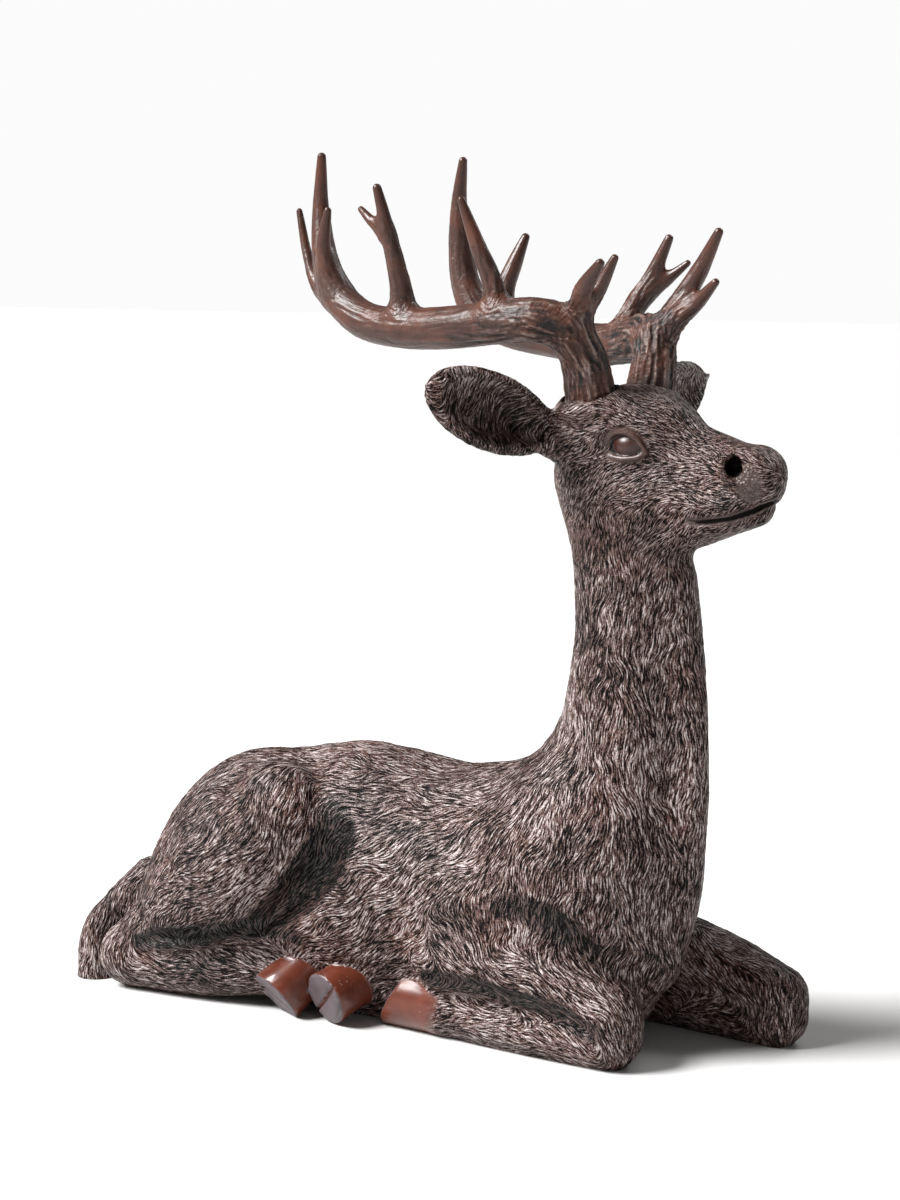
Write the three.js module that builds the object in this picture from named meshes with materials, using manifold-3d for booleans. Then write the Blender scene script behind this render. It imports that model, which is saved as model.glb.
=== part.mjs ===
// A stag lying down with its head up, cast in resin in one piece, with two cast antlers
// that stand in shallow round seats on its brow.
//
// Millimetres, +Z up. The stag faces +X, so +Y is its own left. The origin is on the flat
// underside, beneath the middle of the belly.
//
// The animal is built up as a modeller builds up clay: rounded forms pressed onto one
// another or carved away. The pose is drawn for a statue close to 700 mm tall, and the
// whole of it follows STATUE_HEIGHT.
import * as THREE from "three";
import { mergeVertices } from "three/addons/utils/BufferGeometryUtils.js";
import Module from "manifold-3d";

const wasm = await Module();
wasm.setup();

// Driving dimensions.
const STATUE_HEIGHT = 700; // underside to the highest antler tip
const SEAT_DEPTH = 6; // how far an antler's foot sinks into the brow
const SEAT_CLEARANCE = 0.3; // gap round the foot and under it
const ANTLER_FOOT_RADIUS = 21.5;
const FOOT_FACETS = 24;

// How finely the clay is meshed, and how many triangles are left on each casting.
const BODY_CELL = 4.8;
const ANTLER_CELL = 2.8;
const BODY_TRIANGLES = 5900;
const ANTLER_TRIANGLES = 1330;

const FAR = 1e4;
const BOTH = [-1, 1]; // the stag's right side and its left
const degrees = THREE.MathUtils.degToRad;
const vector = (p) => new THREE.Vector3(...p);

// Shapes of clay. Each gives the distance from a point to its surface, below zero inside,
// and a ball that holds it, so that far shapes can be passed over.

function egg(centre, radii, turn = [0, 0, 0], frame = new THREE.Matrix4()) {
  const place = new THREE.Matrix4()
    .makeRotationFromEuler(new THREE.Euler(...turn.map(degrees), "ZYX"))
    .setPosition(...centre)
    .premultiply(frame);
  const [a, b, c] = radii;
  const e = place.clone().invert().elements;
  return {
    centre: new THREE.Vector3().setFromMatrixPosition(place),
    reach: Math.max(a, b, c),
    distance(x, y, z) {
      const u = e[0] * x + e[4] * y + e[8] * z + e[12];
      const v = e[1] * x + e[5] * y + e[9] * z + e[13];
      const w = e[2] * x + e[6] * y + e[10] * z + e[14];
      const near = Math.hypot(u / a, v / b, w / c);
      const slope = Math.hypot(u / (a * a), v / (b * b), w / (c * c));
      return slope > 1e-9 ? (near * (near - 1)) / slope : -Math.min(a, b, c);
    },
  };
}

// A tapering limb along a smooth curve. Each stop is [x, y, z, radius]. A limb can be
// thinner one way than the other: thin is that share, and across is the thin way.
function limb(stops, { thin = 1, across = [0, 1, 0], pieces = 4, frame = new THREE.Matrix4() } = {}) {
  const curve = new THREE.CatmullRomCurve3(
    stops.map((s) => vector(s).applyMatrix4(frame)),
    false,
    "centripetal",
  );
  const count = (stops.length - 1) * pieces;
  const path = [];
  for (let i = 0; i <= count; i++) {
    const step = Math.min(Math.floor(i / pieces), stops.length - 2);
    const part = i / pieces - step;
    path.push({
      at: curve.getPoint(i / count),
      radius: THREE.MathUtils.lerp(stops[step][3], stops[step + 1][3], part),
    });
  }
  const ball = new THREE.Sphere().setFromPoints(path.map((s) => s.at));
  const n = vector(across).transformDirection(frame);
  const stretch = 1 / thin - 1;
  const bones = path.slice(1).map((end, i) => {
    const start = path[i];
    const d = end.at.clone().sub(start.at);
    d.addScaledVector(n, stretch * d.dot(n));
    const grow = end.radius - start.radius;
    return { start: start.at, d, length2: d.lengthSq(), from: start.radius, grow };
  });
  return {
    centre: ball.center,
    reach: ball.radius + Math.max(...stops.map((s) => s[3])),
    distance(x, y, z) {
      let nearest = FAR;
      for (const { start, d, length2, from, grow } of bones) {
        let dx = x - start.x;
        let dy = y - start.y;
        let dz = z - start.z;
        const w = stretch * (dx * n.x + dy * n.y + dz * n.z);
        dx += w * n.x;
        dy += w * n.y;
        dz += w * n.z;
        const t = Math.min(1, Math.max(0, (dx * d.x + dy * d.y + dz * d.z) / length2));
        const gap = Math.hypot(dx - t * d.x, dy - t * d.y, dz - t * d.z) - from - t * grow;
        if (gap < nearest) nearest = gap;
      }
      return nearest * thin;
    },
  };
}

// Everything beyond a plane, which passes through a point.
function slab(point, normal, frame = new THREE.Matrix4()) {
  const n = vector(normal).transformDirection(frame);
  const level = vector(point).applyMatrix4(frame).dot(n);
  return {
    centre: new THREE.Vector3(),
    reach: FAR,
    distance: (x, y, z) => level - (x * n.x + y * n.y + z * n.z),
  };
}

// Clay holds shapes in the order in which they are pressed on or cut away, each blended
// into what is there over its own width.
class Clay {
  constructor(work = []) {
    this.work = work;
  }

  add(blend, ...shapes) {
    for (const shape of shapes) this.work.push({ ...shape, blend, cut: false });
    return this;
  }

  cut(blend, ...shapes) {
    for (const shape of shapes) this.work.push({ ...shape, blend, cut: true });
    return this;
  }

  distance(x, y, z) {
    let d = FAR;
    for (const { centre, reach, blend, cut, distance } of this.work) {
      const outside = Math.hypot(x - centre.x, y - centre.y, z - centre.z) - reach;
      if (cut ? outside > blend - d : outside > d + blend) continue;
      const other = cut ? -distance(x, y, z) : distance(x, y, z);
      const mix = Math.max(blend - Math.abs(d - other), 0) / blend;
      const fillet = (mix * mix * blend) / 4;
      d = cut ? Math.max(d, other) + fillet : Math.min(d, other) - fillet;
    }
    return d;
  }

  // The shapes that can matter inside a ball.
  near(x, y, z, radius) {
    return new Clay(
      this.work.filter(
        ({ centre, reach, blend }) =>
          Math.hypot(x - centre.x, y - centre.y, z - centre.z) < reach + blend + 3 * radius,
      ),
    );
  }

  shape() {
    const ball = this.box().getBoundingSphere(new THREE.Sphere());
    return { centre: ball.center, reach: ball.radius, distance: (x, y, z) => this.distance(x, y, z) };
  }

  box() {
    const box = new THREE.Box3();
    for (const { centre, reach, cut } of this.work) {
      const size = vector([2 * reach, 2 * reach, 2 * reach]);
      if (!cut) box.union(new THREE.Box3().setFromCenterAndSize(centre, size));
    }
    return box;
  }
}

// The body, limb by limb.

function trunk(clay) {
  clay.add(
    24,
    egg([-196, -44, 106], [110, 60, 55], [0, -56, 0]),
    limb(
      [
        [-146, -30, 112, 92],
        [-70, -14, 114, 105],
        [30, -8, 106, 100],
        [110, -12, 108, 88],
      ],
      { thin: 0.8 },
    ),
    egg([-20, -12, 24], [200, 48, 34], [0, 0, 4]),
  );
  clay.add(34, egg([76, -12, 172], [50, 34, 36]), egg([155, -20, 120], [65, 60, 96], [0, 6, -8]));
}

function neck(clay) {
  clay.add(
    40,
    limb(
      [
        [150, -18, 170, 72],
        [172, -22, 250, 55],
        [181, -27, 330, 49],
        [176, -30, 400, 47],
        [161, -30, 448, 46],
      ],
      { thin: 0.88, across: [0.16, 0.99, 0] },
    ),
  );
  clay.add(
    26,
    limb([
      [226, -40, 372, 7],
      [234, -36, 300, 8],
      [237, -32, 220, 9],
      [226, -30, 140, 10],
      [204, -26, 70, 12],
    ]),
  );
}

function hindquarters(clay) {
  clay.cut(
    10,
    limb([
      [-72, -90, 206, 8],
      [-60, -94, 186, 13],
      [-54, -97, 162, 17],
      [-64, -97, 134, 17],
      [-84, -95, 108, 15],
      [-110, -93, 86, 11],
      [-138, -93, 72, 7],
    ]),
  );
  clay.add(
    4,
    limb(
      [
        [-117, -72, 164, 45],
        [-164, -76, 114, 57],
        [-222, -76, 62, 36],
        [-272, -72, 30, 24],
      ],
      { thin: 0.82 },
    ),
    limb(
      [
        [-110, 16, 150, 44],
        [-158, 22, 108, 57],
        [-216, 18, 58, 38],
        [-262, 4, 28, 27],
      ],
      { thin: 0.82 },
    ),
  );
  clay.add(
    5,
    limb([
      [-270, -72, 27, 27],
      [-190, -68, 28, 27],
      [-130, -62, 34, 25],
    ]),
    limb([
      [-262, 4, 26, 26],
      [-190, -16, 24, 25],
      [-116, -34, 28, 24],
      [-66, -50, 32, 22],
    ]),
  );
  clay.cut(
    5,
    limb([
      [-240, -104, 46, 4],
      [-211, -107, 55, 6],
      [-185, -105, 60, 7],
      [-160, -102, 66, 7],
      [-138, -96, 72, 7],
      [-110, -97, 73, 6],
      [-89, -94, 66, 4],
    ]),
  );
  clay.add(
    3,
    hoof([-112, -87, 15], [-0.4, -0.7, -0.6], [1, -0.15, -0.35], 24),
    hoof([-62, -91, 22], [-0.35, -0.88, -0.3], [-0.74, 0, -0.68], 22.5),
  );
}

// A cloven hoof on its side, with its flat sole facing out and split by a cleft.
function hoof(sole, outward, cleft, radius) {
  const out = vector(outward).normalize();
  const split = vector(cleft).addScaledVector(out, -vector(cleft).dot(out)).normalize();
  const place = new THREE.Matrix4()
    .makeBasis(split, new THREE.Vector3().crossVectors(out, split), out)
    .setPosition(...sole);
  const horn = limb(
    [
      [0, 0, -40, radius - 3],
      [0, 0, radius, radius + 1],
    ],
    { frame: place },
  );
  return new Clay()
    .add(4, horn)
    .cut(1.5, slab([0, 0, 0], [0, 0, 1], place), egg([0, 0, 2], [radius + 8, 1.8, 6], [0, 0, 0], place))
    .shape();
}

function foreLegs(clay) {
  clay.add(
    36,
    egg([118, -58, 142], [44, 24, 66], [0, 14, -6]),
    egg([118, 30, 142], [44, 24, 66], [0, 14, 6]),
    egg([62, -50, 92], [40, 34, 40]),
    egg([104, 40, 92], [40, 34, 40]),
  );
  clay.cut(
    9,
    limb([
      [66, -104, 112, 4],
      [105, -103, 118, 9],
      [135, -100, 113, 10],
      [160, -93, 101, 9],
      [186, -85, 82, 5],
    ]),
  );
  clay.add(
    8,
    limb([
      [42, -66, 68, 33],
      [86, -71, 66, 29],
      [150, -72, 54, 27],
      [184, -72, 38, 28],
    ]),
    limb([
      [104, 56, 76, 34],
      [160, 58, 66, 31],
      [226, 54, 52, 28],
      [268, 50, 38, 26],
    ]),
  );
  clay.add(
    4,
    limb([
      [184, -72, 24, 27],
      [100, -66, 21, 24],
      [34, -59, 23, 24],
    ]),
    limb([
      [268, 50, 23, 26],
      [180, 58, 22, 23],
      [110, 60, 24, 23],
    ]),
    foreHoof([34, -59, 24], [-62, 9, 0]),
    foreHoof([110, 60, 24], [-62, -4, 0]),
  );
  clay.cut(
    5,
    limb([
      [34, -92, 52, 4],
      [60, -99, 50, 7],
      [104, -102, 46, 8],
      [150, -102, 41, 7],
      [186, -102, 32, 4],
    ]),
    limb([
      [128, 88, 50, 4],
      [190, 92, 45, 7],
      [246, 84, 38, 4],
    ]),
  );
}

// A fore hoof lies along the ground behind its leg, cut off square where the sole is.
function foreHoof([x, y, z], [dx, dy, dz]) {
  return new Clay()
    .add(
      2,
      limb([
        [x, y, z, 25],
        [x + dx, y + dy, z + dz, 26],
      ]),
    )
    .cut(2, slab([x + dx, y + dy, 0], [-0.85, 0, 0.53]), egg([x + dx + 16, y + dy, z], [14, 1.8, 40]))
    .shape();
}

function tail(clay) {
  clay.add(
    6,
    limb([
      [-262, -48, 84, 24],
      [-300, -54, 58, 15],
      [-315, -60, 38, 14],
      [-315, -62, 4, 17],
    ]),
  );
}

// The head is drawn in a frame of its own: x along the muzzle, y to the stag's left.
const HEAD_PLACE = [176, -29, 462]; // middle of the skull, between the eyes and the ears
const HEAD_TURN = -11; // the head looks this far to the stag's right
const HEAD_DIP = 3; // and the muzzle drops this much
const head = new THREE.Matrix4()
  .makeRotationFromEuler(new THREE.Euler(0, degrees(HEAD_DIP), degrees(HEAD_TURN), "ZYX"))
  .setPosition(...HEAD_PLACE);

function skull(clay) {
  const narrow = { thin: 0.85, frame: head };
  clay.add(
    16,
    egg([-2, 0, 8], [46, 37, 42], [0, 0, 0], head),
    egg([28, 0, 24], [30, 29, 27], [0, 16, 0], head),
    limb(
      [
        [36, 0, 12, 26],
        [75, 0, 6, 22.5],
        [101, 0, 2, 20.5],
        [116, 0, -1, 18],
      ],
      narrow,
    ),
    limb(
      [
        [-4, 0, -20, 38],
        [30, 0, -34, 32],
        [60, 0, -42, 20],
        [80, 0, -41, 14],
        [98, 0, -36, 10.5],
        [112, 0, -30, 9],
        [121, 0, -26, 8],
      ],
      narrow,
    ),
    limb(
      [
        [30, 0, -14, 31],
        [70, 0, -15, 23],
        [98, 0, -12, 18],
        [112, 0, -8, 15],
      ],
      { thin: 0.92, frame: head },
    ),
  );
  clay.add(8, egg([122, 0, 2], [19, 17, 15], [0, 0, 0], head));
  for (const side of BOTH) face(clay, side);
}

function face(clay, side) {
  const inHead = { frame: head };
  const s = (y) => side * y;
  // Cheek, lips and the wing of the nose.
  clay.add(
    14,
    egg([12, s(21), -26], [34, 17, 27], [0, 20, 0], head),
    egg([-10, s(23), 24], [38, 25, 27], [0, 0, 0], head),
  );
  clay.add(
    10,
    limb(
      [
        [40, s(10), -32, 10],
        [66, s(15), -29, 9],
        [90, s(14), -23.5, 9.5],
        [110, s(11), -16, 10],
        [125, s(5), -9, 10],
      ],
      inHead,
    ),
    limb(
      [
        [50, s(8), -46, 8],
        [70, s(13), -45, 6],
        [94, s(10.5), -38.5, 6.5],
        [110, s(7), -32, 7],
        [120, s(3), -27, 7],
      ],
      inHead,
    ),
    egg([114, s(12), 5], [17, 9.5, 14], [0, 0, s(-12)], head),
  );
  // Mouth and nostril.
  clay.cut(
    2,
    limb(
      [
        [74, s(22.5), -38, 1.4],
        [82, s(21.5), -38.3, 2.4],
        [90, s(20.5), -36.9, 2.8],
        [103, s(18.8), -34.3, 3],
        [115, s(16), -30.4, 3],
        [126, s(12), -24.9, 2.8],
        [133, s(6.5), -20, 2.6],
        [136, 0, -17.5, 2.4],
      ],
      inHead,
    ),
  );
  clay.cut(2.5, egg([113, s(23), 6.5], [6, 9, 7.5], [0, 0, s(-16)], head));
  clay.cut(
    2,
    limb(
      [
        [113, s(22), 6, 4],
        [121, s(19), 1.5, 1.5],
      ],
      inHead,
    ),
  );
  // The nostril's raised rim, and its fold inside.
  clay.add(
    3,
    limb(
      [
        [112, s(23), 16, 1.8],
        [105.5, s(25), 13, 2.4],
        [104, s(25), 5, 2.8],
        [107.5, s(24.5), -3, 2.8],
        [115, s(22.5), -6, 2.4],
        [122, s(19), -5, 1.8],
      ],
      inHead,
    ),
    egg([124, s(14.5), 5], [4, 5, 5], [0, 0, 0], head),
  );
  // Eye: socket, ball, brow and lids.
  clay.cut(6, egg([20.5, s(42), 13], [17, 8, 11.5], [0, 0, s(-8)], head));
  clay.cut(4, egg([43, s(31), 9], [5, 3.5, 2.5], [0, 20, 0], head));
  clay.add(
    9,
    limb(
      [
        [-4, s(32), 26, 5],
        [12, s(33), 33, 6],
        [32, s(28), 30, 6],
        [46, s(22), 19, 5],
      ],
      inHead,
    ),
  );
  clay.add(1, egg([21, s(27.5), 13.5], [13, 11.5, 10], [0, 0, 0], head));
  const lids = [
    [
      [3, 36, 8, 1.8],
      [8, 37.5, 17, 2.2],
      [15, 38.5, 22.5, 2.4],
      [25, 37.5, 23.5, 2.3],
      [33.5, 34.5, 18.5, 2],
      [39.5, 31.5, 9.5, 1.5],
    ],
    [
      [3, 36, 8, 1.8],
      [11, 37.5, 4.5, 2],
      [22, 37, 3.2, 2.1],
      [32, 34, 5, 1.9],
      [39.5, 31.5, 9.5, 1.5],
    ],
  ];
  for (const lid of lids) {
    clay.add(
      2,
      limb(
        lid.map(([x, y, z, r]) => [x, s(y), z, r]),
        inHead,
      ),
    );
  }
  clay.add(
    10,
    limb(
      [
        [-22, s(24), 8, 20],
        [-38, s(46), 12, 15],
        [-45, s(62), 18, 11],
      ],
      inHead,
    ),
  );
  ear(clay, side);
}

// A leaf-shaped ear, hollowed on its front and deepest near its root.
function ear(clay, side) {
  const root = vector([-38, side * 40, 12]);
  const tip = side < 0 ? vector([-64, -156, 54]) : vector([-50, 150, 48]);
  const along = tip.clone().sub(root).normalize();
  const front = vector([1, side * 0.1, -0.05]);
  front.addScaledVector(along, -front.dot(along)).normalize();
  const place = new THREE.Matrix4()
    .makeBasis(along, new THREE.Vector3().crossVectors(front, along), front)
    .setPosition(root)
    .premultiply(head);
  const length = tip.distanceTo(root);
  clay.add(4, egg([0.54 * length, 0, 0], [0.5 * length, 30, 15], [0, 0, 0], place));
  if (side > 0) {
    const point = [
      [0.6 * length, 0, 2, 20],
      [0.84 * length, 0, 2, 12],
      [1.08 * length, 0, 2, 3],
    ];
    clay.add(4, limb(point, { thin: 0.5, across: [0, 0, 1], frame: place }));
  }
  clay.cut(
    4,
    egg([0.56 * length, 0, 19], [0.45 * length, 26, 19], [0, 0, 0], place),
    egg([0.36 * length, 0, 12], [0.22 * length, 14, 17], [0, 0, 0], place),
  );
}

// The antlers, in the head's frame. The first stops of a beam set the middle of its foot
// and the way it stands; the tines follow.
const ANTLERS = {
  antler_right: [
    [
      [-16, -30, 43, 20],
      [-20, -38, 77, 18],
      [-30, -50, 96, 18],
      [-47, -62, 101, 18],
      [-86, -68, 96, 17],
      [-125, -70, 90, 17],
      [-172, -72, 86, 16],
      [-212, -72, 89, 15],
      [-244, -70, 106, 14],
      [-261, -68, 131, 11],
      [-273, -63, 171, 7],
      [-275, -62, 214, 3.5],
    ],
    [
      [-80, -70, 98, 12],
      [-81, -71, 122, 9],
      [-93, -78, 154, 6.5],
      [-106, -84, 187, 3],
    ],
    [
      [-170, -73, 92, 12.5],
      [-173, -75, 118, 9],
      [-179, -82, 153, 6.5],
      [-189, -88, 192, 3.5],
    ],
    [
      [-184, -84, 158, 5],
      [-196, -86, 167, 4],
      [-209, -84, 175, 2.5],
    ],
    [
      [-246, -72, 110, 9],
      [-252, -80, 141, 6.5],
      [-245, -84, 172, 3],
    ],
    [
      [-250, -68, 102, 8.5],
      [-268, -66, 108, 6],
      [-287, -62, 134, 4.5],
      [-300, -60, 169, 2.5],
    ],
    [
      [-26, -46, 90, 12.5],
      [-20, -46, 106, 10],
      [-6, -58, 126, 7.5],
      [12, -62, 147, 3.5],
    ],
    [
      [-20, -44, 104, 8.5],
      [-8, -38, 126, 6.5],
      [3, -34, 150, 3],
    ],
  ],
  antler_left: [
    [
      [-8, 30, 43, 20],
      [-11, 38, 75, 18],
      [-24, 49, 88, 18],
      [-59, 66, 80, 18],
      [-92, 72, 75, 17],
      [-134, 72, 77, 17],
      [-185, 70, 81, 16],
      [-216, 68, 90, 14.5],
      [-233, 68, 114, 12.5],
      [-241, 68, 146, 10],
      [-242, 66, 178, 7],
      [-236, 62, 213, 3.5],
    ],
    [
      [-14, 42, 84, 12.5],
      [-4, 50, 108, 10],
      [13, 58, 141, 7],
      [27, 60, 170, 3.5],
    ],
    [
      [-4, 46, 98, 9],
      [16, 50, 115, 6.5],
      [34, 50, 133, 3],
    ],
    [
      [-66, 69, 84, 12],
      [-65, 74, 100, 10],
      [-55, 84, 128, 7],
      [-43, 90, 161, 3.5],
    ],
    [
      [-60, 80, 112, 6.5],
      [-46, 90, 127, 5.5],
      [-28, 96, 143, 2.5],
    ],
    [
      [-192, 70, 90, 11],
      [-194, 72, 111, 8.5],
      [-191, 80, 134, 6.5],
      [-188, 88, 154, 3.5],
    ],
  ],
};

// Where an antler stands: the middle of its foot, with z up along the foot.
function seat([[first, second]]) {
  const up = vector(second).sub(vector(first)).normalize();
  const x = vector([1, 0, 0]).addScaledVector(up, -up.x).normalize();
  return new THREE.Matrix4()
    .makeBasis(x, new THREE.Vector3().crossVectors(up, x), up)
    .setPosition(vector(first))
    .premultiply(head);
}

// The brow swells round each seat.
function pedicles(clay) {
  for (const beams of Object.values(ANTLERS)) {
    clay.add(9, egg([0, 0, -3], [28, 28, 13], [0, 0, 0], seat(beams)));
  }
}

// Meshing: marching tetrahedra on a regular grid, which always gives a closed surface.

const TETRAHEDRA = [
  [0, 1, 3, 7],
  [0, 1, 5, 7],
  [0, 2, 3, 7],
  [0, 2, 6, 7],
  [0, 4, 5, 7],
  [0, 4, 6, 7],
];
const BLOCK = 4; // cells along a side of the blocks that are looked at first
const WHOLE_BLOCK = Math.ceil(BLOCK);

// Grid lines along one axis, set closer over the range that needs fine work. They end at
// the end of a block.
function lines(from, to, cell, fine) {
  const [low, high, close] = fine ?? [to, to, cell];
  const found = [from - 2 * cell];
  while (found.at(-1) < to + 2 * cell || (found.length - 1) % WHOLE_BLOCK) {
    const at = found.at(-1);
    found.push(at + (at > low && at < high ? close : cell));
  }
  return found;
}

function skin(clay, cell, fine = []) {
  const box = clay.box();
  const grid = [0, 1, 2].map((m) => lines(box.min.getComponent(m), box.max.getComponent(m), cell, fine[m]));
  const [xs, ys, zs] = grid;
  const across = [1, xs.length, xs.length * ys.length];
  const value = new Float32Array(across[2] * zs.length).fill(NaN);
  const corner = [0, 1, 2, 3, 4, 5, 6, 7].map(
    (n) => (n & 1 ? across[0] : 0) + (n & 2 ? across[1] : 0) + (n & 4 ? across[2] : 0),
  );
  const blocks = [];
  for (let k = 0; k + WHOLE_BLOCK < zs.length; k += WHOLE_BLOCK) {
    for (let j = 0; j + WHOLE_BLOCK < ys.length; j += WHOLE_BLOCK) {
      for (let i = 0; i + WHOLE_BLOCK < xs.length; i += WHOLE_BLOCK) {
        const low = vector([xs[i], ys[j], zs[k]]);
        const high = vector([xs[i + WHOLE_BLOCK], ys[j + WHOLE_BLOCK], zs[k + WHOLE_BLOCK]]);
        const radius = low.distanceTo(high) / 2;
        const middle = low.add(high).multiplyScalar(0.5).toArray();
        const local = clay.near(...middle, radius);
        if (local.work.length && Math.abs(local.distance(...middle)) < 2 * radius) blocks.push([i, j, k, local]);
      }
    }
  }
  for (const [i0, j0, k0, local] of blocks) {
    for (let k = k0; k <= k0 + WHOLE_BLOCK; k++) {
      for (let j = j0; j <= j0 + WHOLE_BLOCK; j++) {
        for (let i = i0; i <= i0 + WHOLE_BLOCK; i++) {
          const n = i + j * across[1] + k * across[2];
          if (Number.isNaN(value[n])) {
            const d = local.distance(xs[i], ys[j], zs[k]);
            value[n] = Math.abs(d) < 1e-3 ? 1e-3 : d;
          }
        }
      }
    }
  }

  const points = [];
  const faces = [];
  const made = new Map();
  function place(n) {
    const k = Math.floor(n / across[2]);
    const j = Math.floor((n - k * across[2]) / across[1]);
    return [xs[n - k * across[2] - j * across[1]], ys[j], zs[k]];
  }
  function crossing(a, b) {
    const [p, q] = a < b ? [a, b] : [b, a];
    const key = p * 32 + corner.indexOf(q - p);
    if (!made.has(key)) {
      const t = value[p] / (value[p] - value[q]);
      const from = place(p);
      const to = place(q);
      made.set(key, points.length);
      points.push(from.map((f, m) => f + t * (to[m] - f)));
    }
    return made.get(key);
  }
  function add(a, b, c, outward) {
    const normal = faceNormal(points[a], points[b], points[c]);
    faces.push(normal.dot(outward) > 0 ? [a, b, c] : [a, c, b]);
  }
  for (const [i0, j0, k0] of blocks) {
    for (let k = k0; k < k0 + WHOLE_BLOCK; k++) {
      for (let j = j0; j < j0 + WHOLE_BLOCK; j++) {
        for (let i = i0; i < i0 + WHOLE_BLOCK; i++) {
          const n = i + j * across[1] + k * across[2];
          const inside = corner.map((c) => value[n + c] < 0);
          if (inside.every((v) => v === inside[0])) continue;
          for (const tetra of TETRAHEDRA) {
            const within = tetra.filter((v) => inside[v]).map((v) => n + corner[v]);
            const beyond = tetra.filter((v) => !inside[v]).map((v) => n + corner[v]);
            if (!within.length || !beyond.length) continue;
            const outward = vector(place(beyond[0])).sub(vector(place(within[0])));
            if (within.length === 1) add(...beyond.map((b) => crossing(within[0], b)), outward);
            else if (beyond.length === 1) add(...within.map((w) => crossing(w, beyond[0])), outward);
            else {
              const [a, b, c, d] = [
                crossing(within[0], beyond[0]),
                crossing(within[0], beyond[1]),
                crossing(within[1], beyond[1]),
                crossing(within[1], beyond[0]),
              ];
              add(a, b, c, outward);
              add(a, c, d, outward);
            }
          }
        }
      }
    }
  }
  return { points, faces };
}

function faceNormal([ax, ay, az], [bx, by, bz], [cx, cy, cz]) {
  const ux = bx - ax;
  const uy = by - ay;
  const uz = bz - az;
  const vx = cx - ax;
  const vy = cy - ay;
  const vz = cz - az;
  return new THREE.Vector3(uy * vz - uz * vy, uz * vx - ux * vz, ux * vy - uy * vx);
}

// Thinning: the edge whose loss moves the surface least is drawn into a point, again and
// again, until the wanted number of triangles is left. A quadric holds the sum of squared
// distances to the planes round a point; care weighs the places that need finer work.
const STAY = 2e-3; // a slight pull towards the old points keeps flat areas even

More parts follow.
